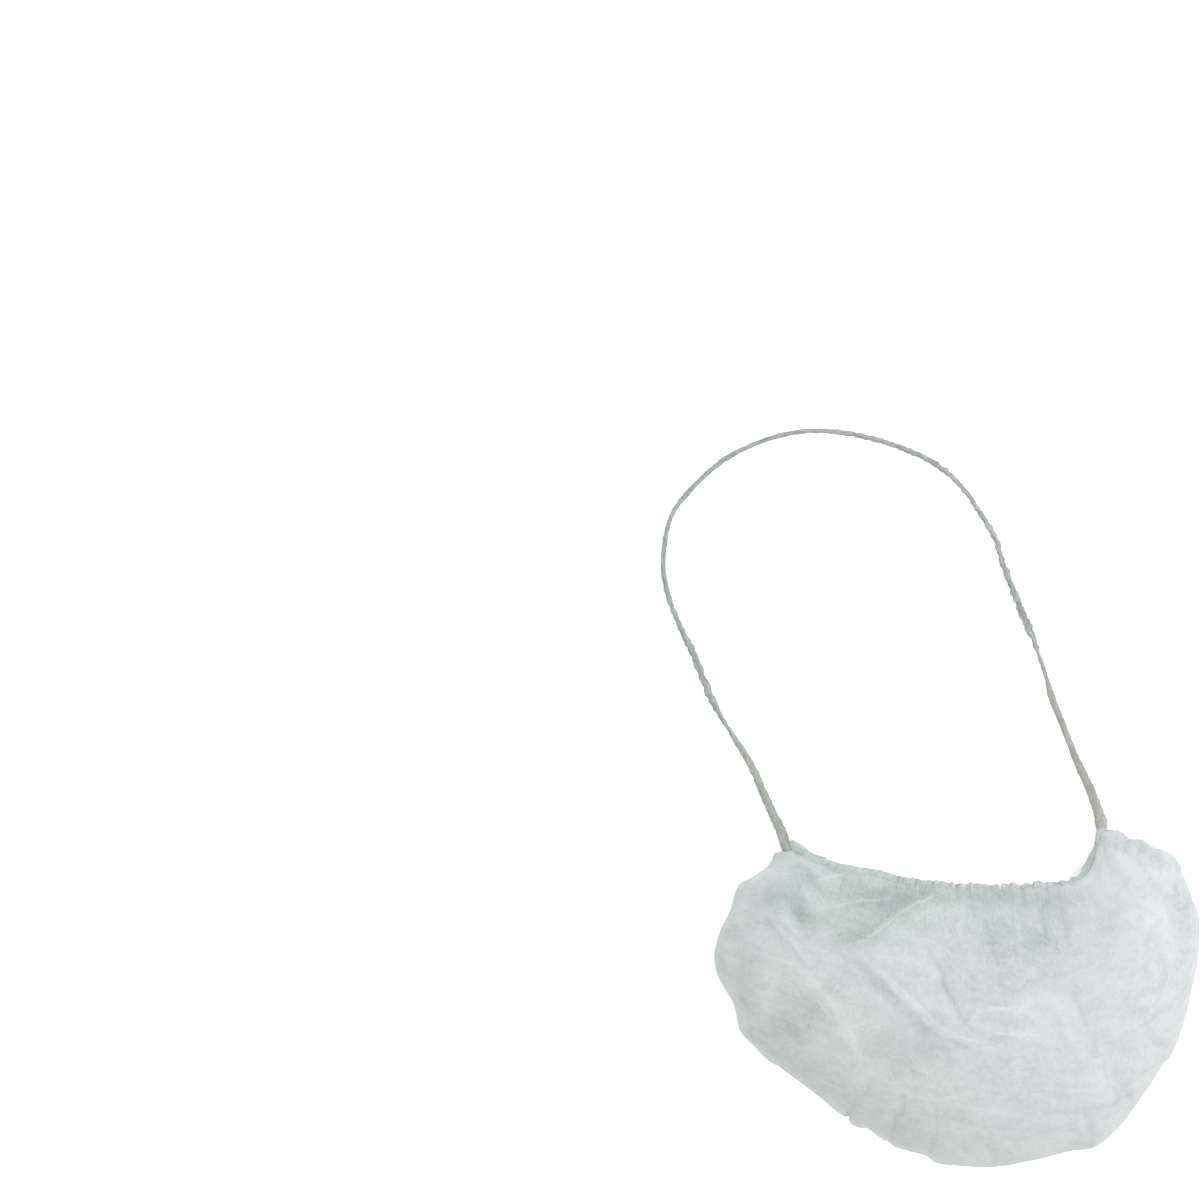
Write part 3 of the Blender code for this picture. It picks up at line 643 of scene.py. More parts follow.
def folded_pouch():
    """The pouch's outer surface with its folds, as a grid of columns from corner to corner, front to back edge.

    Returns the grid, the cloth's own places in metres for the UV map, and the sections.
    """
    at = even_rows(SECTIONS, COLUMNS, measure=slice(2, 4))
    section = read_sections(at)
    mouth = np.stack((section["mouth_x"], section["mouth_y"]), axis=-1)
    rim = smooth_rows(RIM, even_rows(RIM, COLUMNS))
    calm = calm_line(rim, 6)
    reach = np.linalg.norm(calm - mouth, axis=-1)
    share, height = section_curve(reach, section["crown"], section["lift"])
    place = mouth[:, None] + share[..., None] * (calm - mouth)[:, None]
    near_rim = np.exp(-(1 - share) * reach[:, None] / SCALLOP_DEPTH)
    place = place + near_rim[..., None] * (rim - calm)[:, None]
    smooth = np.dstack((place, height))

    # The cloth's own places: along the cloth at its widest, and down the sections.
    travelled = run_length(rim)
    down = np.zeros(share.shape)
    down[:, 1:] = np.cumsum(np.linalg.norm(np.diff(smooth, axis=1), axis=2), axis=1)
    uv = np.dstack((np.broadcast_to(travelled[:, None], down.shape), down))

    x, y = seen_places(smooth)
    row = np.arange(share.shape[1])
    column = np.linspace(0, 1, COLUMNS)[:, None]
    front = step(row, 0, 9) * (1 - step(row, PUFF_ROWS - 8, PUFF_ROWS + 4))
    corner = step(np.minimum(column, 1 - column), 0.0, 0.06)
    lobes = (swell_height(x, y) + fold_height(x, y)) * front[None] * corner
    grid = smooth + lobes[..., None] * outward_normals(smooth)
    # The left end is pressed down over the loop.
    grid[..., 2] = np.maximum(grid[..., 2], 0.0) * (LEFT_END_PRESSED + (1 - LEFT_END_PRESSED) * step(column, 0.0, 0.05))
    return grid, uv, section


def gather_noise(along, across):
    """Bumps of the cloth gathered by the elastic, for a place along the mouth and one across its hem."""
    return (
        soft_noise(along / 0.0024, across, 66) + 0.8 * soft_noise(along / 0.0055, across, 67)
        + 0.6 * soft_noise(along / 0.0014, across, 68)
    )


def wrinkles(grid, uv, section):
    """Fine wrinkles along the outward normals: gathers out of the hem, fans out of the corners, crinkles."""
    x, y, down = grid[..., 0], grid[..., 1], uv[..., 1]
    row = np.arange(grid.shape[1])
    column = np.linspace(0, 1, COLUMNS)[:, None]
    mouth = np.stack((section["mouth_x"], section["mouth_y"]), axis=-1)
    along_mouth = run_length(mouth)[:, None]
    gather = gather_noise(along_mouth, 5.3 + down / 0.012) * np.exp(-down / 0.007)
    gather = 0.0009 * gather * section["ruffle"][:, None]
    fans = corner_fan(x, y, mouth[-1], 15, 0.018, 0.0002, 21) + corner_fan(x, y, mouth[0], 15, 0.020, 0.0004, 31)
    crinkle = 0.00016 * crumple(x / 0.022, y / 0.022, 3, 2)
    live = (1 - step(row, PUFF_ROWS + 3, PUFF_ROWS + RIM_ROWS))[None]
    ends = step(np.minimum(column, 1 - column), 0.0, 0.02)
    grid = grid + ((gather + fans + crinkle) * live * ends)[..., None] * outward_normals(grid)
    outward = unit((grid[:, 0] - grid[:, PUFF_ROWS - 1]) * (1, 1, 0))
    bumps = 1 + 0.12 * gather_noise(along_mouth, 5.3)
    near = EDGE_REACH * section["ruffle"][:, None] * bumps * np.exp(-down / 0.003)
    return grid + near[..., None] * (outward[:, None] * 0.9 - UP * 0.4)


def finer_grid(coarse):
    """A coarse grid read at every step of the fine one: a Catmull-Rom cubic along both directions."""
    columns = np.arange(COLUMNS) / COARSER
    rows = np.arange(PUFF_ROWS + RIM_ROWS + BACK_ROWS) / COARSER
    first = smooth_rows(coarse.reshape(len(coarse), -1), columns).reshape(COLUMNS, -1, 3)
    turned = first.transpose(1, 0, 2)
    second = smooth_rows(turned.reshape(len(turned), -1), rows).reshape(len(rows), COLUMNS, 3)
    return second.transpose(1, 0, 2)


def settled_pouch(grid):
    """The pouch after a short cloth simulation, in which the cloth is a little larger than the form it hangs in.

    Its uncut size is EXTRA_CLOTH larger all over and gathered along the mouth, so it buckles into wrinkles.
    The mouth and the back layer are pinned, and weak springs hold every other point near its place. The
    simulation runs on the coarser grid at ten times the size, and its movement is carried to the fine grid.
    """
    scale = 10.0
    coarse = grid[::COARSER, ::COARSER] * scale
    columns, rows = coarse.shape[:2]
    row = np.arange(rows)[None]
    column = np.arange(columns)[:, None] / (columns - 1)
    puff = (PUFF_ROWS - 1) // COARSER
    down = np.zeros((columns, rows))
    down[:, 1:] = np.cumsum(np.linalg.norm(np.diff(coarse, axis=1), axis=2), axis=1)

    uncut = coarse.copy()
    growth = 1 + EXTRA_CLOTH + GATHERED_CLOTH * np.exp(-down / (GATHER_DEPTH * scale))
    uncut[..., 0] = coarse[..., 0] * growth
    uncut[..., 1:] = coarse[..., 1:] * (1 + EXTRA_CLOTH)

    end = np.minimum(column, 1 - column)
    loose = step(row, 0, 4) * (1 - step(row, puff - 2, puff + 3)) * step(end, 0.0, 0.05)
    hold = 1 - loose * (1 - HOLD)

    piece = grid_piece("cloth_settling", coarse, None, np.zeros((columns, rows, 2)))
    piece.shape_key_add(name="Basis")
    key = piece.shape_key_add(name="uncut")
    key.data.foreach_set("co", uncut.astype(np.float32).ravel())
    key.value = 0.0
    pins = piece.vertex_groups.new(name="hold")
    for number, weight in enumerate(hold.ravel().tolist()):
        pins.add((number,), weight, "REPLACE")
    cloth = piece.modifiers.new("cloth", "CLOTH")
    settings = cloth.settings
    settings.quality = 6
    settings.mass = 0.1
    settings.air_damping = 6
    settings.tension_stiffness = 20
    settings.compression_stiffness = 20
    settings.shear_stiffness = 8
    settings.bending_stiffness = 1.0
    settings.tension_damping = 8
    settings.compression_damping = 8
    settings.shear_damping = 8
    settings.vertex_group_mass = "hold"
    settings.pin_stiffness = 1.0
    settings.rest_shape_key = key
    settings.effector_weights.gravity = 0.0
    settings.use_pressure = True
    settings.uniform_pressure_force = PRESSURE
    cloth.collision_settings.use_collision = False
    cloth.collision_settings.use_self_collision = False
    cloth.point_cache.frame_start = 1
    cloth.point_cache.frame_end = SETTLING_FRAMES
    scene = bpy.context.scene
    for number in range(1, SETTLING_FRAMES + 1):
        scene.frame_set(number)
    found = piece.evaluated_get(bpy.context.evaluated_depsgraph_get()).to_mesh()
    settled = np.empty(columns * rows * 3, np.float32)
    found.vertices.foreach_get("co", settled)
    scene.frame_set(1)
    bpy.data.objects.remove(piece, do_unlink=True)
    moved = (settled.reshape(columns, rows, 3) - coarse) / scale
    far = np.linalg.norm(moved, axis=-1, keepdims=True)
    moved = moved * np.minimum(1, MOST_MOVE / np.maximum(far, 1e-9))
    return grid + finer_grid(moved)


# Node building

def add_node(tree, kind, inputs=None, **settings):
    """A node of a tree with settings, and values or links for its sockets by name or number."""
    node = tree.nodes.new(kind)
    for name, value in settings.items():
        setattr(node, name, value)
    for name, value in (inputs or {}).items():
        socket = node.inputs[name]
        if isinstance(value, bpy.types.NodeSocket):
            tree.links.new(value, socket)
        else:
            socket.default_value = value
    return node


def math_node(tree, operation, *values, clamp=False):
    """The output of a Math node over values or links."""
    return add_node(
        tree, "ShaderNodeMath", dict(enumerate(values)), operation=operation, use_clamp=clamp
    ).outputs[0]


def mix_colour(tree, share, first, second, blend="MIX"):
    """The colour output of a Mix node."""
    node = tree.nodes.new("ShaderNodeMix")
    node.data_type = "RGBA"
    node.blend_type = blend
    for number, value in ((0, share), (6, first), (7, second)):
        if isinstance(value, bpy.types.NodeSocket):
            tree.links.new(value, node.inputs[number])
        else:
            node.inputs[number].default_value = value
    return node.outputs[2]


def vector_node(tree, operation, first, second=None, found="Vector"):
    """An output of a Vector Math node over one or two values or links."""
    inputs = {0: first} if second is None else {0: first, 1: second}
    return add_node(tree, "ShaderNodeVectorMath", inputs, operation=operation).outputs[found]


def noise_node(tree, vector, scale, detail=2.0, roughness=0.5, distortion=0.0):
    """A noise texture's value."""
    return add_node(
        tree, "ShaderNodeTexNoise",
        {"Vector": vector, "Scale": scale, "Detail": detail, "Roughness": roughness, "Distortion": distortion},
    ).outputs[0]


def stretched(tree, vector, scale, turn=0.0):
    """A place vector turned about Z and stretched."""
    return add_node(
        tree, "ShaderNodeMapping", {"Vector": vector, "Scale": scale, "Rotation": (0, 0, turn)}
    ).outputs[0]


def new_group(name, inputs, outputs):
    """A shader node group with named inputs (kind and value) and outputs (kind)."""
    group = bpy.data.node_groups.new(name, "ShaderNodeTree")
    for label, (kind, value) in inputs.items():
        socket = group.interface.new_socket(label, in_out="INPUT", socket_type=kind)
        if value is not None:
            socket.default_value = value
    for label, kind in outputs.items():
        group.interface.new_socket(label, in_out="OUTPUT", socket_type=kind)
    return group, group.nodes.new("NodeGroupInput"), group.nodes.new("NodeGroupOutput")


def spunbond_group():
    """Thin spunbond cloth: cloudy clumps, single fibres two ways, long strands, and rows of small bond points.

    The strands run down the cloth where Round is 0 and round it, along the rim, where Round is 1.
    """
    group, given, out = new_group(
        "spunbond",
        {
            "Place": ("NodeSocketVector", None),
            "Clump size": ("NodeSocketFloat", 0.0025),
            "Bond pitch": ("NodeSocketFloat", 0.0011),
            "Round": ("NodeSocketFloat", 0.0),
        },
        {
            "Cloud": "NodeSocketFloat", "Fibre": "NodeSocketFloat", "Strand": "NodeSocketFloat",
            "Bonds": "NodeSocketFloat", "Height": "NodeSocketFloat",
        },
    )
    place = given.outputs["Place"]
    clump = math_node(group, "DIVIDE", 1.0, given.outputs["Clump size"])
    cloud = noise_node(group, place, clump, 5.0, 0.62, 0.4)
    first = noise_node(group, stretched(group, place, (2600, 420, 900), 0.5), 1.0, 2.0, 0.6, 0.9)
    second = noise_node(group, stretched(group, place, (2600, 420, 900), -0.9), 1.0, 2.0, 0.6, 0.9)
    fibre = math_node(group, "MULTIPLY", math_node(group, "ADD", first, second), 0.5)
    upright = noise_node(group, stretched(group, place, (190, 42, 60), 0.25), 1.0, 3.0, 0.5, 0.7)
    level = noise_node(group, stretched(group, place, (28, 170, 60), 0.08), 1.0, 3.0, 0.5, 0.7)
    blend = add_node(
        group, "ShaderNodeMix", {0: given.outputs["Round"], 2: upright, 3: level}, data_type="FLOAT"
    ).outputs[0]
    # A strand is a thin pale line where the blended noise crosses its middle.
    off_middle = math_node(group, "ABSOLUTE", math_node(group, "SUBTRACT", blend, 0.5))
    line = add_node(group, "ShaderNodeMapRange", {0: off_middle, 1: 0.0, 2: 0.06, 3: 1.0, 4: 0.0}).outputs[0]
    strand = math_node(
        group, "ADD", math_node(group, "MULTIPLY", line, 0.22), math_node(group, "MULTIPLY", blend, 0.9)
    )
    # Bond points: the product of two waves, raised to small round dots.
    turns = math_node(group, "DIVIDE", 2 * np.pi, given.outputs["Bond pitch"])
    parts = add_node(group, "ShaderNodeSeparateXYZ", {0: stretched(group, place, (1, 1, 1), 0.785)}).outputs
    wave_x = math_node(group, "SINE", math_node(group, "MULTIPLY", parts[0], turns))
    wave_y = math_node(group, "SINE", math_node(group, "MULTIPLY", parts[1], turns))
    bonds = add_node(
        group, "ShaderNodeMapRange", {0: math_node(group, "MULTIPLY", wave_x, wave_y), 1: 0.45, 2: 0.85}
    ).outputs[0]
    height = math_node(group, "ADD", math_node(group, "MULTIPLY", cloud, 0.4), math_node(group, "MULTIPLY", fibre, 0.3))
    height = math_node(group, "ADD", height, math_node(group, "MULTIPLY", strand, 0.55))
    height = math_node(group, "SUBTRACT", height, math_node(group, "MULTIPLY", bonds, 0.15))
    found = (("Cloud", cloud), ("Fibre", fibre), ("Strand", strand), ("Bonds", bonds), ("Height", height))
    for label, value in found:
        group.links.new(value, out.inputs[label])
    return group


def crease_group():
    """Fine creases of crumpled cloth: thin lines where a slow noise crosses its middle, in two sizes."""
    group, given, out = new_group(
        "fine_creases",
        {"Place": ("NodeSocketVector", None), "Size": ("NodeSocketFloat", 0.012)},
        {"Lines": "NodeSocketFloat", "Height": "NodeSocketFloat"},
    )
    scale = math_node(group, "DIVIDE", 1.0, given.outputs["Size"])
    lines = 0.0
    for factor, share in ((1.0, 0.65), (2.3, 0.35)):
        wave = noise_node(group, given.outputs["Place"], math_node(group, "MULTIPLY", scale, factor), 2.0, 0.45, 0.8)
        edge = math_node(group, "ABSOLUTE", math_node(group, "SUBTRACT", wave, 0.5))
        ridge = add_node(group, "ShaderNodeMapRange", {0: edge, 1: 0.0, 2: 0.07, 3: 1.0, 4: 0.0}).outputs[0]
        lines = math_node(group, "ADD", math_node(group, "MULTIPLY", ridge, share), lines)
    group.links.new(lines, out.inputs["Lines"])
    group.links.new(math_node(group, "POWER", lines, 1.5), out.inputs["Height"])
    return group


def crease_piece_group():
    """A straight piece of a drawn crease: 1 on it and 0 from its half width on, and the share of the way along."""
    group, given, out = new_group(
        "crease_piece",
        {
            "Place": ("NodeSocketVector", None), "From": ("NodeSocketVector", None),
            "Way": ("NodeSocketVector", None), "Half width": ("NodeSocketFloat", 0.0005),
        },
        {"Near": "NodeSocketFloat", "Share": "NodeSocketFloat"},
    )
    way = given.outputs["Way"]
    offset = vector_node(group, "SUBTRACT", given.outputs["Place"], given.outputs["From"])
    ahead = vector_node(group, "DOT_PRODUCT", offset, way, "Value")
    squared = vector_node(group, "DOT_PRODUCT", way, way, "Value")
    share = math_node(group, "MINIMUM", math_node(group, "MAXIMUM", math_node(group, "DIVIDE", ahead, squared), 0.0), 1.0)
    beside = vector_node(group, "SUBTRACT", offset, vector_node(group, "MULTIPLY", way, share))
    distance = vector_node(group, "LENGTH", beside, found="Value")
    near = add_node(
        group, "ShaderNodeMapRange", {0: distance, 1: 0.0, 2: given.outputs["Half width"], 3: 1.0, 4: 0.0},
        interpolation_type="SMOOTHSTEP", clamp=False,
    ).outputs[0]
    group.links.new(near, out.inputs["Near"])
    group.links.new(share, out.inputs["Share"])
    return group


def painted_crease_group():
    """The creases of the CREASE_LIGHT_AND_SHADE table: how far their painted highlights lighten and their painted shade
    darkens the cloth at a place on the table.

    Each is a row of straight pieces, bent by a little noise, thinning out at its two ends and broken up
    along the way. Where creases cross, the stronger one counts. No node here clamps by its own setting,
    since the renderer would then hold too many values at a time.
    """
    group, given, out = new_group(
        "drawn_creases", {"Place": ("NodeSocketVector", None)}, {"Pale": "NodeSocketFloat", "Dark": "NodeSocketFloat"}
    )
    crease_piece = crease_piece_group()
    wander = add_node(group, "ShaderNodeTexNoise", {"Vector": given.outputs["Place"], "Scale": 130.0, "Detail": 2.0})
    sway = vector_node(group, "SUBTRACT", wander.outputs["Color"], (0.5, 0.5, 0.5))
    sway = vector_node(group, "MULTIPLY", sway, (0.0022, 0.0022, 0.0))
    place = vector_node(group, "ADD", given.outputs["Place"], sway)
    totals = {True: 0.0, False: 0.0}
    for strength, width, path in CREASE_LIGHT_AND_SHADE:
        corners = [(x / 1000, y / 1000, 0.0) for x, y in path]
        last = len(corners) - 2
        for number, (start, end) in enumerate(zip(corners[:-1], corners[1:])):
            piece = group.nodes.new("ShaderNodeGroup")
            piece.node_tree = crease_piece
            group.links.new(place, piece.inputs["Place"])
            piece.inputs["From"].default_value = start
            piece.inputs["Way"].default_value = np.subtract(end, start)
            piece.inputs["Half width"].default_value = 1.6 * width / 1000
            amount = math_node(group, "MULTIPLY", piece.outputs["Near"], abs(strength))
            if number == 0:
                begun = math_node(group, "MULTIPLY", piece.outputs["Share"], 1.6)
                amount = math_node(group, "MULTIPLY", amount, math_node(group, "MINIMUM", begun, 1.0))
            if number == last:
                left = math_node(group, "MULTIPLY", math_node(group, "SUBTRACT", 1.0, piece.outputs["Share"]), 1.6)
                amount = math_node(group, "MULTIPLY", amount, math_node(group, "MINIMUM", left, 1.0))
            totals[strength > 0] = math_node(group, "MAXIMUM", amount, totals[strength > 0])
    gaps = noise_node(group, given.outputs["Place"], 260.0, 2.0)
    whole = add_node(group, "ShaderNodeMapRange", {0: gaps, 1: 0.36, 2: 0.58, 3: 0.35, 4: 1.1}).outputs[0]
    group.links.new(math_node(group, "MULTIPLY", totals[True], whole), out.inputs["Pale"])
    group.links.new(math_node(group, "MULTIPLY", totals[False], whole), out.inputs["Dark"])
    return group


def cloth_material(name, groups, light, dark, warm, seen_through, roughness, bump, sheen, clump=0.0025, tan=None):
    """Matte nonwoven, mixed from dark to light by the piece's mark of fibre density and painted shading, its fibre
    clouds and its strands.

    warm is the light tone's other colour, mixed in by the tint mark, and the plain mark greys it a little. seen_through
    is how much light the cloth lets past. tan is a second colour laid by the stain mark.
    """
    material = bpy.data.materials.new(name)
    material.use_nodes = True
    tree = material.node_tree
    shader = tree.nodes["Principled BSDF"]
    output = tree.nodes["Material Output"]
    place = add_node(tree, "ShaderNodeTexCoord").outputs["Object"]
    own_place = add_node(tree, "ShaderNodeUVMap", uv_map="cloth_places").outputs[0]
    spun = add_node(tree, "ShaderNodeGroup", node_tree=groups["spunbond"])
    tree.links.new(own_place, spun.inputs["Place"])
    spun.inputs["Clump size"].default_value = clump
    tree.links.new(add_node(tree, "ShaderNodeAttribute", attribute_name="round").outputs["Fac"], spun.inputs["Round"])
    creases = add_node(tree, "ShaderNodeGroup", node_tree=groups["creases"])
    tree.links.new(place, creases.inputs["Place"])
    density_and_shading = add_node(tree, "ShaderNodeAttribute", attribute_name="density_and_shading").outputs["Fac"]
    tint = add_node(tree, "ShaderNodeAttribute", attribute_name="tint").outputs["Fac"]

    def about_middle(value, low, high, amount):
        """A value spread from low..high to -amount..amount."""
        return add_node(
            tree, "ShaderNodeMapRange", {0: value, 1: low, 2: high, 3: -amount, 4: amount}
        ).outputs[0]

    # Cloth that is thin, or darkened by painted shade, shows its clumps and gaps more than thick, pale cloth does.
    thin = math_node(tree, "SUBTRACT", 1.35, density_and_shading)
    mottle = math_node(
        tree, "ADD", about_middle(spun.outputs["Cloud"], 0.32, 0.68, 0.17),
        about_middle(spun.outputs["Fibre"], 0.36, 0.64, 0.07),
    )
    share = math_node(tree, "ADD", density_and_shading, math_node(tree, "MULTIPLY", mottle, thin))
    share = math_node(tree, "ADD", share, about_middle(spun.outputs["Strand"], 0.30, 0.78, 0.08))
    # The fine crease lines are a little paler: partly folded cloth, partly painted highlight.
    share = math_node(tree, "ADD", share, math_node(tree, "MULTIPLY", creases.outputs["Lines"], 0.06))
    share = math_node(tree, "SUBTRACT", share, math_node(tree, "MULTIPLY", spun.outputs["Bonds"], 0.05), clamp=True)
    # Painted highlights and painted shade along the drawn creases of the pouch.
    if "drawn" in groups:
        drawn = add_node(tree, "ShaderNodeGroup", node_tree=groups["drawn"])
        tree.links.new(add_node(tree, "ShaderNodeUVMap", uv_map="seen_places").outputs[0], drawn.inputs["Place"])
        share = math_node(tree, "ADD", share, drawn.outputs["Pale"])
        share = math_node(tree, "SUBTRACT", share, drawn.outputs["Dark"], clamp=True)
    bright = mix_colour(tree, tint, (*light, 1), (*warm, 1))
    colour = mix_colour(tree, share, (*dark, 1), bright)
    plain = add_node(tree, "ShaderNodeAttribute", attribute_name="plain").outputs["Fac"]
    colour = mix_colour(tree, plain, colour, (1.03, 0.973, 0.957, 1), "MULTIPLY")
    if tan:
        stain = add_node(tree, "ShaderNodeAttribute", attribute_name="stain").outputs["Fac"]
        speck = add_node(tree, "ShaderNodeMapRange", {0: spun.outputs["Fibre"], 1: 0.36, 2: 0.62}).outputs[0]
        speck = math_node(tree, "ADD", math_node(tree, "MULTIPLY", speck, 0.6), 0.4)
        colour = mix_colour(tree, math_node(tree, "MULTIPLY", stain, speck), colour, (*tan, 1))
    tree.links.new(colour, shader.inputs["Base Color"])
    rough = math_node(tree, "ADD", math_node(tree, "MULTIPLY", share, -0.10), roughness + 0.06)
    tree.links.new(rough, shader.inputs["Roughness"])
    shader.inputs["Sheen Weight"].default_value = sheen
    shader.inputs["Sheen Roughness"].default_value = 0.45
    shader.inputs["Specular IOR Level"].default_value = 0.3

    relief = math_node(tree, "ADD", spun.outputs["Height"], math_node(tree, "MULTIPLY", creases.outputs["Height"], 0.5))
    lift = add_node(tree, "ShaderNodeBump", {"Strength": 0.6, "Distance": bump, "Height": relief})
    tree.links.new(lift.outputs[0], shader.inputs["Normal"])

    if seen_through:
        glow = add_node(tree, "ShaderNodeBsdfTranslucent", {"Color": colour, "Normal": lift.outputs[0]})
        both = add_node(tree, "ShaderNodeMixShader", {0: seen_through, 1: shader.outputs[0], 2: glow.outputs[0]})
        tree.links.new(both.outputs[0], output.inputs["Surface"])
    return material


def make_materials():
    """Every finish of the cover."""
    groups = {"spunbond": spunbond_group(), "creases": crease_group()}
    return {
        "pouch": cloth_material(
            "pouch_spunbond", {**groups, "drawn": painted_crease_group()}, (0.735, 0.77, 0.79), (0.37, 0.435, 0.42), (0.69, 0.748, 0.732),
            0.25, 0.72, 0.00030, 0.2,
        ),
        "hem": cloth_material(
            "hem_spunbond", groups, (0.70, 0.75, 0.745), (0.33, 0.40, 0.385), (0.63, 0.72, 0.69),
            0.2, 0.72, 0.0004, 0.2, 0.0016,
        ),
        "loop": cloth_material(
            "loop_spunbond", groups, (0.45, 0.46, 0.445), (0.20, 0.23, 0.21), (0.40, 0.435, 0.41),
            0.0, 0.75, 0.0004, 0.2, 0.0016, tan=(0.31, 0.29, 0.235),
        ),
        "tie": cloth_material(
            "tie_spunbond", groups, (0.70, 0.74, 0.74), (0.36, 0.42, 0.40), (0.68, 0.73, 0.715),
            0.1, 0.74, 0.0004, 0.2, 0.0016, tan=(0.33, 0.31, 0.25),
        ),
    }


# The pieces

def spread(values, have, want):
    """Columns of values read along a length."""
    return np.stack([np.interp(want, have, column) for column in np.atleast_2d(values.T)], axis=-1)


def make_loop(material):
    """The head loop: an elastic thread in a crinkled, flattened and here and there twisted sleeve of cloth.

    A ring is a flat ellipse turned by the twist. Creased noise that winds round the sleeve, and bumps along
    both edges, swell its radius. Each ring is lifted until its lowest point touches the table.
    """
    route = np.array(LOOP_ROUTE) + LOOP_SHIFT
    rings, sides = 1700, 22
    line = calm_line(smooth_rows(route, even_rows(route, rings)), 14)
    centre = np.column_stack((line, np.zeros(rings)))
    travelled = run_length(centre)
    share = travelled / travelled[-1]
    forward = unit(np.gradient(centre, axis=0))
    side = unit(np.cross(UP, forward))
    shares, widths, crinkles = np.array(LOOP_SLEEVE).T
    crinkle = np.interp(share, shares, crinkles)[:, None]
    twist = 0.9 * soft_noise(travelled / 0.030, 0.5, 41) + 0.7 * crinkle[:, 0] * soft_noise(travelled / 0.007, 3.5, 42)
    twist = twist * step(travelled, 0.002, 0.025)
    wide = np.interp(share, shares, widths) / 2000 * 0.94
    thick = 0.00080 * (1 + 0.25 * soft_noise(travelled / 0.009, 9.5, 44))
    turn = np.linspace(0, 2 * np.pi, sides, endpoint=False)[None]
    along = travelled[:, None]
    winding = crumple(along / 0.0044 + turn / (2 * np.pi), np.abs(np.sin(turn / 2)) * 1.5, 45, 2)
    edge = np.cos(turn)
    bumps = np.where(
        edge > 0, soft_noise(along / 0.0021, 0.3, 48), soft_noise(along / 0.0024, 7.3, 49)
    ) * np.abs(edge)
    radius = 1 + 0.16 * crinkle * winding + (0.06 + 0.70 * crinkle) * bumps
    flat_x = wide[:, None] * radius * np.cos(turn)
    flat_y = thick[:, None] * (1 + 0.5 * crinkle * winding) * np.sin(turn)
    c, s = np.cos(twist)[:, None], np.sin(twist)[:, None]
    across, upward = flat_x * c - flat_y * s, flat_x * s + flat_y * c
    middle = centre.copy()
    rise_left, rise_right = 1 - step(along[:, 0], 0.002, 0.018), step(along[:, 0], travelled[-1] - 0.018, travelled[-1])
    middle[:, 2] = np.maximum(-upward.min(axis=1) + 0.0001, 0) + 0.0006 * rise_left + 0.0022 * rise_right
    points = middle[:, None] + across[..., None] * side[:, None] + upward[..., None] * UP
    uv = np.dstack((
        np.broadcast_to(travelled[:, None], across.shape), np.broadcast_to(turn * 0.0018, across.shape)
    ))
    stain = 0.8 * (1 - step(share, 0.05, 0.16)) + step(share, 0.80, 0.93) * (1 - 0.6 * step(share, 0.985, 1.0))
    patches = step(soft_noise(along / 0.006, turn, 47), -0.25, 0.30)
    lines = step(soft_noise(along / 0.011, 2 * np.cos(turn), 52), -0.05, 0.12)
    marks = {
        # Paler on the crinkles and edge bumps that stand out, darker along both edges and in crease streaks: painted
        # highlight and painted shade over the sleeve's own tone.
        "density_and_shading": np.clip(
            0.50 + 0.30 * winding + (0.10 + 0.40 * crinkle) * bumps - 0.16 * np.abs(edge) ** 3
            + 0.30 * (1 - step(along, 0.001, 0.008)) - 0.20 * lines * (0.4 + crinkle) - 0.14 * spot_share(share, 0.50, 0.14)[:, None], 0, 1
        ),
        "tint": np.clip(1 - 1.3 * step(along / travelled[-1], 0.30, 0.60) + 0 * edge, 0, 1),
        "stain": stain[:, None] * patches,
    }
    piece = tube_piece("head_loop_cord", points, material, uv, marks)
    length = float(run_length(middle)[-1])
    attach(piece, "root")
    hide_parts("head_loop")
    return length


def spot_share(share, place, wide):
    """A soft hump over a share of the way: exp(-(distance / width) ^ 2)."""
    return np.exp(-(((share - place) / wide) ** 2))


def make_pouch(materials):
    """The pouch of one cloth, and its surface for the hems."""
    grid, uv, section = folded_pouch()
    grid = settled_pouch(grid)
    grid = wrinkles(grid, uv, section)
    grid[..., 2] = np.maximum(grid[..., 2], 0.0)
    (x, y), down = seen_places(grid), uv[..., 1]
    column = np.abs(np.linspace(-1, 1, COLUMNS)[:, None])
    rim = np.abs(down - down[:, PUFF_ROWS - 1][:, None])
    marks = {
        "density_and_shading": density_and_shading_mark(x, y, rim),
        "tint": np.clip(tint_mark(x, y) + 0.5 * np.exp(-rim / 0.003), 0, 1),
        "plain": np.exp(-rim / 0.022) * (1 - step(y, -0.005, 0.022)),
        "round": np.clip(step(down, 0.008, 0.040) * 0.75 + 1.1 * step(column, 0.35, 0.75), 0, 1),
    }
    piece = grid_piece("pouch_cloth", grid, materials["pouch"], uv, marks)
    layer = piece.data.uv_layers.new(name="seen_places")
    corners = grid_quads(*grid.shape[:2]).ravel()
    layer.data.foreach_set("uv", np.dstack((x, y)).reshape(-1, 2).astype(np.float32)[corners].ravel())
    wall = piece.modifiers.new("cloth", "SOLIDIFY")
    wall.thickness = CLOTH
    wall.offset = -1
    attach(piece, "root")
    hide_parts("pouch")
    return piece, grid, section


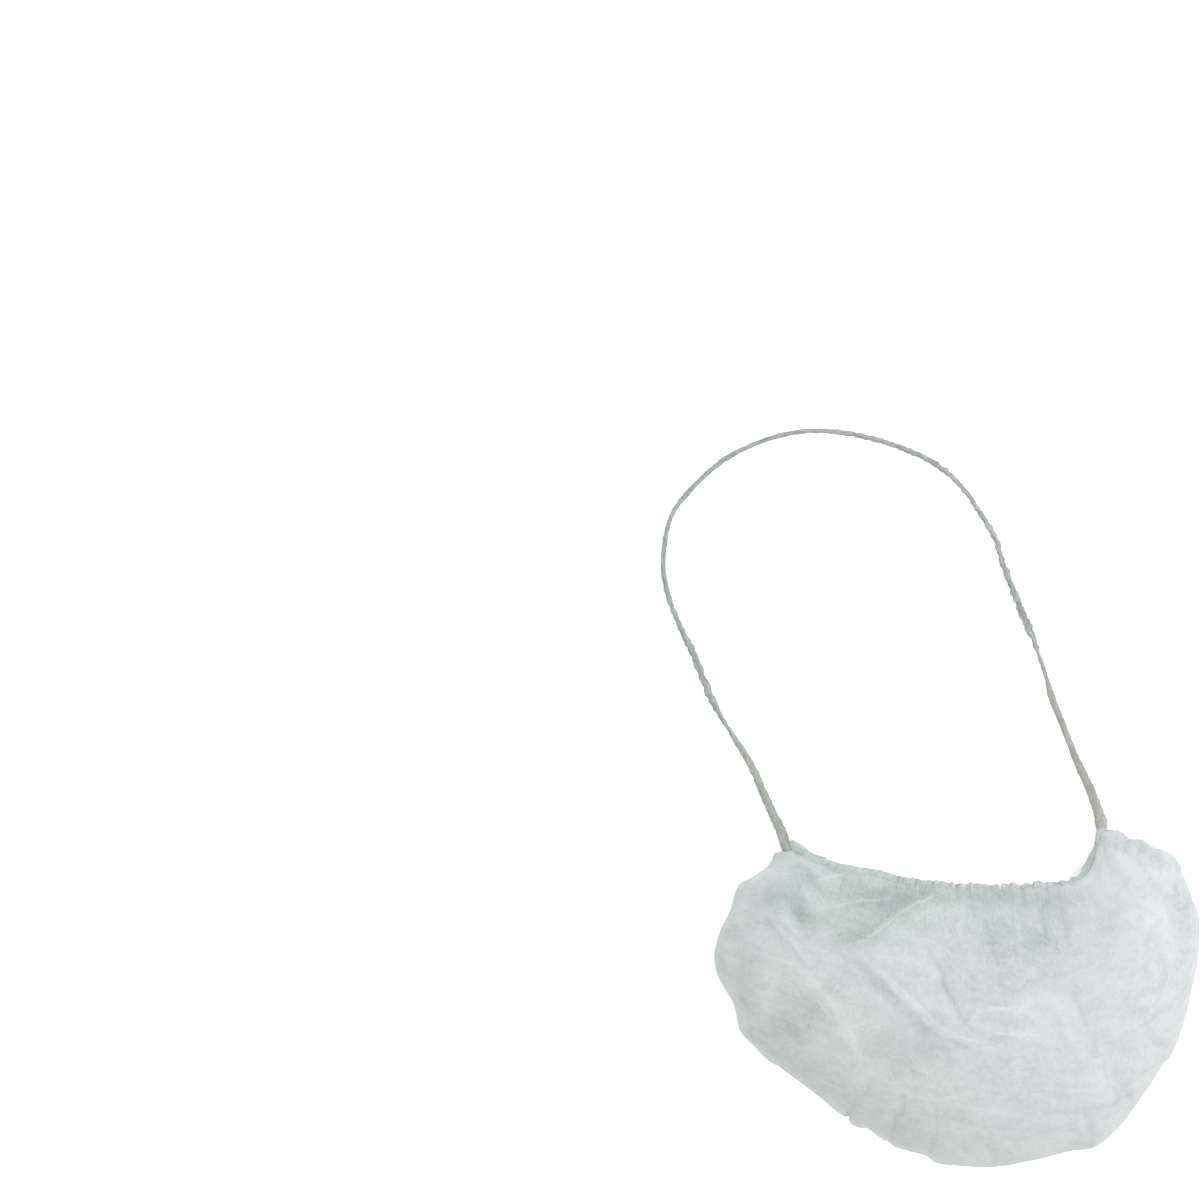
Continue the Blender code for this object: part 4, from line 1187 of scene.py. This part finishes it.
def density_and_shading_mark(x, y, rim):
    """How densely the fibres lie at each place, 0 to 1, with painted shade and painted highlights in it: zones, pale
    crests, dark valleys and a darker rim.
    """
    total = np.full(x.shape, 0.80)
    for place_x, place_y, wide, deep, turn, amount in FIBRE_AND_SHADING_ZONES:
        total += amount * spot(x, y, place_x, place_y, wide, deep, turn)
    bent_x, bent_y = bent(x, y)
    # Along each fold the cloth is paler on the crest and darker in the valley: partly denser folded cloth, partly
    # painted highlight and painted shade.
    for height, width, sharp, path in FOLDS:
        distance, share = distance_to_path(bent_x, bent_y, path)
        taper = np.clip(4 * share * (1 - share), 0, 1) ** 0.5
        broken = 0.75 + 0.5 * soft_noise(x / 0.006, y / 0.006, 75)
        reach = 0.30 * width + 0.25 if height > 0 else 0.5 * width + 0.3
        total += np.clip(0.30 * height, -0.17, 0.28) * taper * broken * np.exp(-((distance / reach) ** 2))
    total += 0.13 * soft_noise(x / 0.013, y / 0.010, 76) + 0.10 * soft_noise(x / 0.005, y / 0.0045, 77)
    total -= 0.26 * np.exp(-rim / 0.0016) + 0.10 * np.exp(-rim / 0.008)
    return np.clip(total, 0, 1)


def tint_mark(x, y):
    """How green the cloth looks at each place, 0 to 1: least on the right cheek, most at the corners."""
    total = 0.75 - 0.62 * step(x, -0.02, 0.075)
    total += 0.35 * spot(x, y, -30, 40, 40, 12, 10) - 0.30 * spot(x, y, 0, 14, 34, 24, 0)
    total += 0.50 * spot(x, y, 66, 60, 10, 12, 0) - 0.40 * spot(x, y, 103, 34, 8, 18, 0)
    return np.clip(total, 0, 1)


def make_hem(name, node, seam, outward, droop, width, ruffle, floor_side, material, seed):
    """A hem along a seam: cloth gathered over an elastic thread, its inner side tucked under the pouch's cloth.

    Round a ring, for a turn a, a point lies (width + tuck) * (1 + cos(a)) / 2 - tuck out from the seam and
    thickness / 2 * sin(a) off its plane. Noise along the seam widens, thickens and lifts the free
    edge in small ruffles, by the share that the section table gives.
    """
    length = run_length(seam)
    rings, sides = 1100, 20
    here = np.linspace(0, length[-1], rings)
    seam, outward = spread(seam, length, here), unit(spread(outward, length, here))
    droop, width, ruffle = (spread(v, length, here) for v in (droop, width, ruffle))
    away = outward * np.cos(droop) - UP * np.sin(droop)
    normal = UP * np.cos(droop) + outward * np.sin(droop)
    turn = np.linspace(0, 2 * np.pi, sides, endpoint=False)[None]
    free = (1 + np.cos(turn)) / 2
    s = here[:, None]
    tuck = 0.0012
    share = here / here[-1]
    width = width * (1 - 0.62 * np.minimum(ruffle, 1))
    narrowing = 0.25 + 0.75 * step(share, 0.0, 0.02) * (1 - step(share, 0.975, 1.0))
    width = width * narrowing[:, None]
    bumps = crumple(s / 0.0026, turn / np.pi, seed, 2)
    lumps = gather_noise(s, 5.3)
    large = 0.0014 * np.exp(-(((seam[:, :1] * 1000 - 37.8) / 2.6) ** 2))
    large = large + 0.0008 * np.exp(-(((seam[:, :1] * 1000 - 54.6) / 1.6) ** 2))
    out = (width + tuck + large) * free * (1 + 0.20 * ruffle * lumps) - tuck + 0.0005 * ruffle * bumps * free
    off = HEM_THICKNESS * 0.34 * np.sin(turn) * (1 + 0.7 * ruffle * bumps)
    wave = 0.0006 * gather_noise(s, 5.3 + free * 0.3)
    if floor_side:
        wave = np.abs(wave)
    off = off + wave * ruffle
    points = seam[:, None] + out[..., None] * away[:, None] + off[..., None] * normal[:, None]
    if floor_side:
        points[..., 2] = np.maximum(points[..., 2], 0.0001)
    uv = np.dstack((np.broadcast_to(s * 2.0, out.shape), np.broadcast_to(turn * 0.0012, out.shape)))
    marks = {
        # Paler on the ruffles' bumps and lumps and darker where it ruffles: painted highlight and painted shade over
        # the hem's own tone.
        "density_and_shading": np.clip(
            0.36 - 0.10 * ruffle + (0.45 * bumps + 0.25 * lumps) * ruffle
            + 0.20 * (1 - step(seam[:, :1], -0.050, -0.022)) * (0.6 + 0.8 * bumps), 0, 1
        ),
        "tint": np.clip(1.0 - 0.9 * ruffle + 0 * out, 0, 1),
    }
    piece = tube_piece(name, points, material, uv, marks)
    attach(piece, "root")
    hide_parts(node)
    return piece


def make_gather(name, node, path, widths, heights, material, slot, seed):
    """The bunched cloth at a corner: a pleated, flattened tube along a bent middle line, from pouch to loop."""
    count = 48
    t = np.linspace(0, 1, count)[:, None]
    at = np.linspace(0, len(path) - 1, count)
    centre = smooth_rows(np.array(path) / 1000, at)
    half_width = smooth_rows(np.array(widths)[:, None] / 2000, at)
    half_height = smooth_rows(np.array(heights)[:, None] / 2000, at)
    forward = unit(np.gradient(centre, axis=0))
    side = unit(np.cross(UP, forward))
    upward = np.cross(forward, side)
    turn = np.linspace(0, 2 * np.pi, 96, endpoint=False)[None]
    pleat = crumple(turn / (2 * np.pi) * 9, t * 1.5, seed, 2)
    wide = half_width * (1 + 0.13 * pleat) * np.cos(turn)
    high = half_height * (1 + 0.16 * pleat) * np.sin(turn)
    points = centre[:, None] + wide[..., None] * side[:, None] + high[..., None] * upward[:, None]
    points = points + (0.0009 * soft_noise(turn / (2 * np.pi) * 7, 0.3, seed + 3) * t)[..., None] * forward[:, None]
    points[..., 2] = np.maximum(points[..., 2], 0.0001)
    uv = np.dstack((np.broadcast_to(t * 0.006, wide.shape), np.broadcast_to(turn * 0.002, wide.shape)))
    tan_end = slot == "loop_cloth"
    marks = {
        # Paler on the pleats' crests and darker between them: painted highlight and painted shade.
        "density_and_shading": np.clip((0.44 if tan_end else 0.42) + 0.28 * pleat + 0 * t, 0, 1),
        "tint": np.full(wide.shape, 0.9),
        "stain": np.broadcast_to(step(t, 0.36, 0.50) if tan_end else 0 * t, wide.shape),
    }
    piece = tube_piece(name, points, material, uv, marks)
    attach(piece, "root")
    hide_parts(node)
    return piece


# Table, light and camera

def make_stage():
    """A pale table top under everything."""
    size = 3.0
    points = np.array([(-size, -size, -0.0004), (size, -size, -0.0004), (size, size, -0.0004), (-size, size, -0.0004)])
    material = bpy.data.materials.new("table_white")
    material.use_nodes = True
    shader = material.node_tree.nodes["Principled BSDF"]
    shader.inputs["Base Color"].default_value = (0.93, 0.93, 0.93, 1)
    shader.inputs["Roughness"].default_value = 0.9
    shader.inputs["Specular IOR Level"].default_value = 0.1
    shader.inputs["Emission Color"].default_value = (1, 1, 1, 1)
    shader.inputs["Emission Strength"].default_value = 0.4
    table = new_piece("table_top", points, np.array([[0, 1, 2, 3]]), material)


def make_light(name, place, aim, size, power, colour=(1, 1, 1)):
    """A soft square light at a place, turned to an aim."""
    from mathutils import Vector

    lamp = bpy.data.lights.new(name, "AREA")
    lamp.size = size
    lamp.energy = power
    lamp.color = colour
    light = bpy.data.objects.new(name, lamp)
    light.location = place
    light.rotation_euler = (Vector(aim) - Vector(place)).to_track_quat("-Z", "Y").to_euler()
    bpy.context.scene.collection.objects.link(light)


def make_camera():
    """A long lens straight above the middle of the photograph's frame."""
    lens = bpy.data.cameras.new("photo_view")
    lens.lens = 200
    lens.sensor_width = 36
    camera = bpy.data.objects.new("photo_view", lens)
    camera.location = VIEW_FROM
    bpy.context.scene.collection.objects.link(camera)
    bpy.context.scene.camera = camera


def make_lighting():
    """A large soft light from the right of the mouth and a bright even surround."""
    world = bpy.data.worlds.new("studio")
    world.use_nodes = True
    surround = world.node_tree.nodes["Background"]
    surround.inputs["Color"].default_value = (1.0, 1.0, 1.0, 1)
    surround.inputs["Strength"].default_value = 0.98
    bpy.context.scene.world = world
    make_light("key", (1.0, 0.75, 1.5), (0.0, 0.0, 0.0), 0.9, 17, (1.0, 1.0, 1.0))
    bpy.context.scene.view_settings.view_transform = "Standard"


def make_all():
    make_camera()
    materials = make_materials()
    make_loop(materials["loop"])
    pouch, grid, section = make_pouch(materials)
    wall = outward_normals(grid) * HEM_THICKNESS * 0.3
    front, back = grid[:, 0] - wall[:, 0], grid[:, -1] - wall[:, -1]
    back[:, 2] = HEM_THICKNESS / 2
    outward = unit((grid[:, 0] - grid[:, PUFF_ROWS - 1]) * (1, 1, 0))
    droop = HEM_DROOP * section["lift"] / MOUTH_LIFT
    hem, ruffle = section["hem"], section["ruffle"]
    pieces = [
        make_hem("mouth_hem_front", "mouth_edge_front", front, outward, droop, hem, ruffle, False, materials["hem"], 61),
        make_hem("mouth_hem_back", "mouth_edge_back", back, outward, 0 * droop, hem, ruffle, True, materials["hem"], 81),
        make_gather(
            "left_corner_bunch", "left_gather",
            [(-59.0, 62.6, 2.9), (-66.3, 63.9, 2.8), (-70.9, 66.4, 2.4), (-73.6, 68.9, 2.2), (-75.3, 71.1, 1.9)],
            (1.8, 3.9, 5.4, 3.9, 1.8), (1.2, 2.0, 2.6, 2.4, 1.4), materials["hem"], "hem_cloth", 91,
        ),
        make_gather(
            "right_corner_bunch", "right_gather",
            [(64.9, 65.5, 3.6), (66.0, 71.5, 4.0), (66.5, 76.0, 3.8), (66.4, 79.6, 3.2), (65.6, 82.4, 2.6),
             (65.0, 84.8, 2.1)],
            (1.4, 4.6, 4.6, 5.6, 4.3, 3.8), (1.2, 3.6, 4.0, 3.6, 2.6, 1.6), materials["tie"], "loop_cloth", 95,
        ),
    ]
    make_stage()
    make_lighting()


make_all()
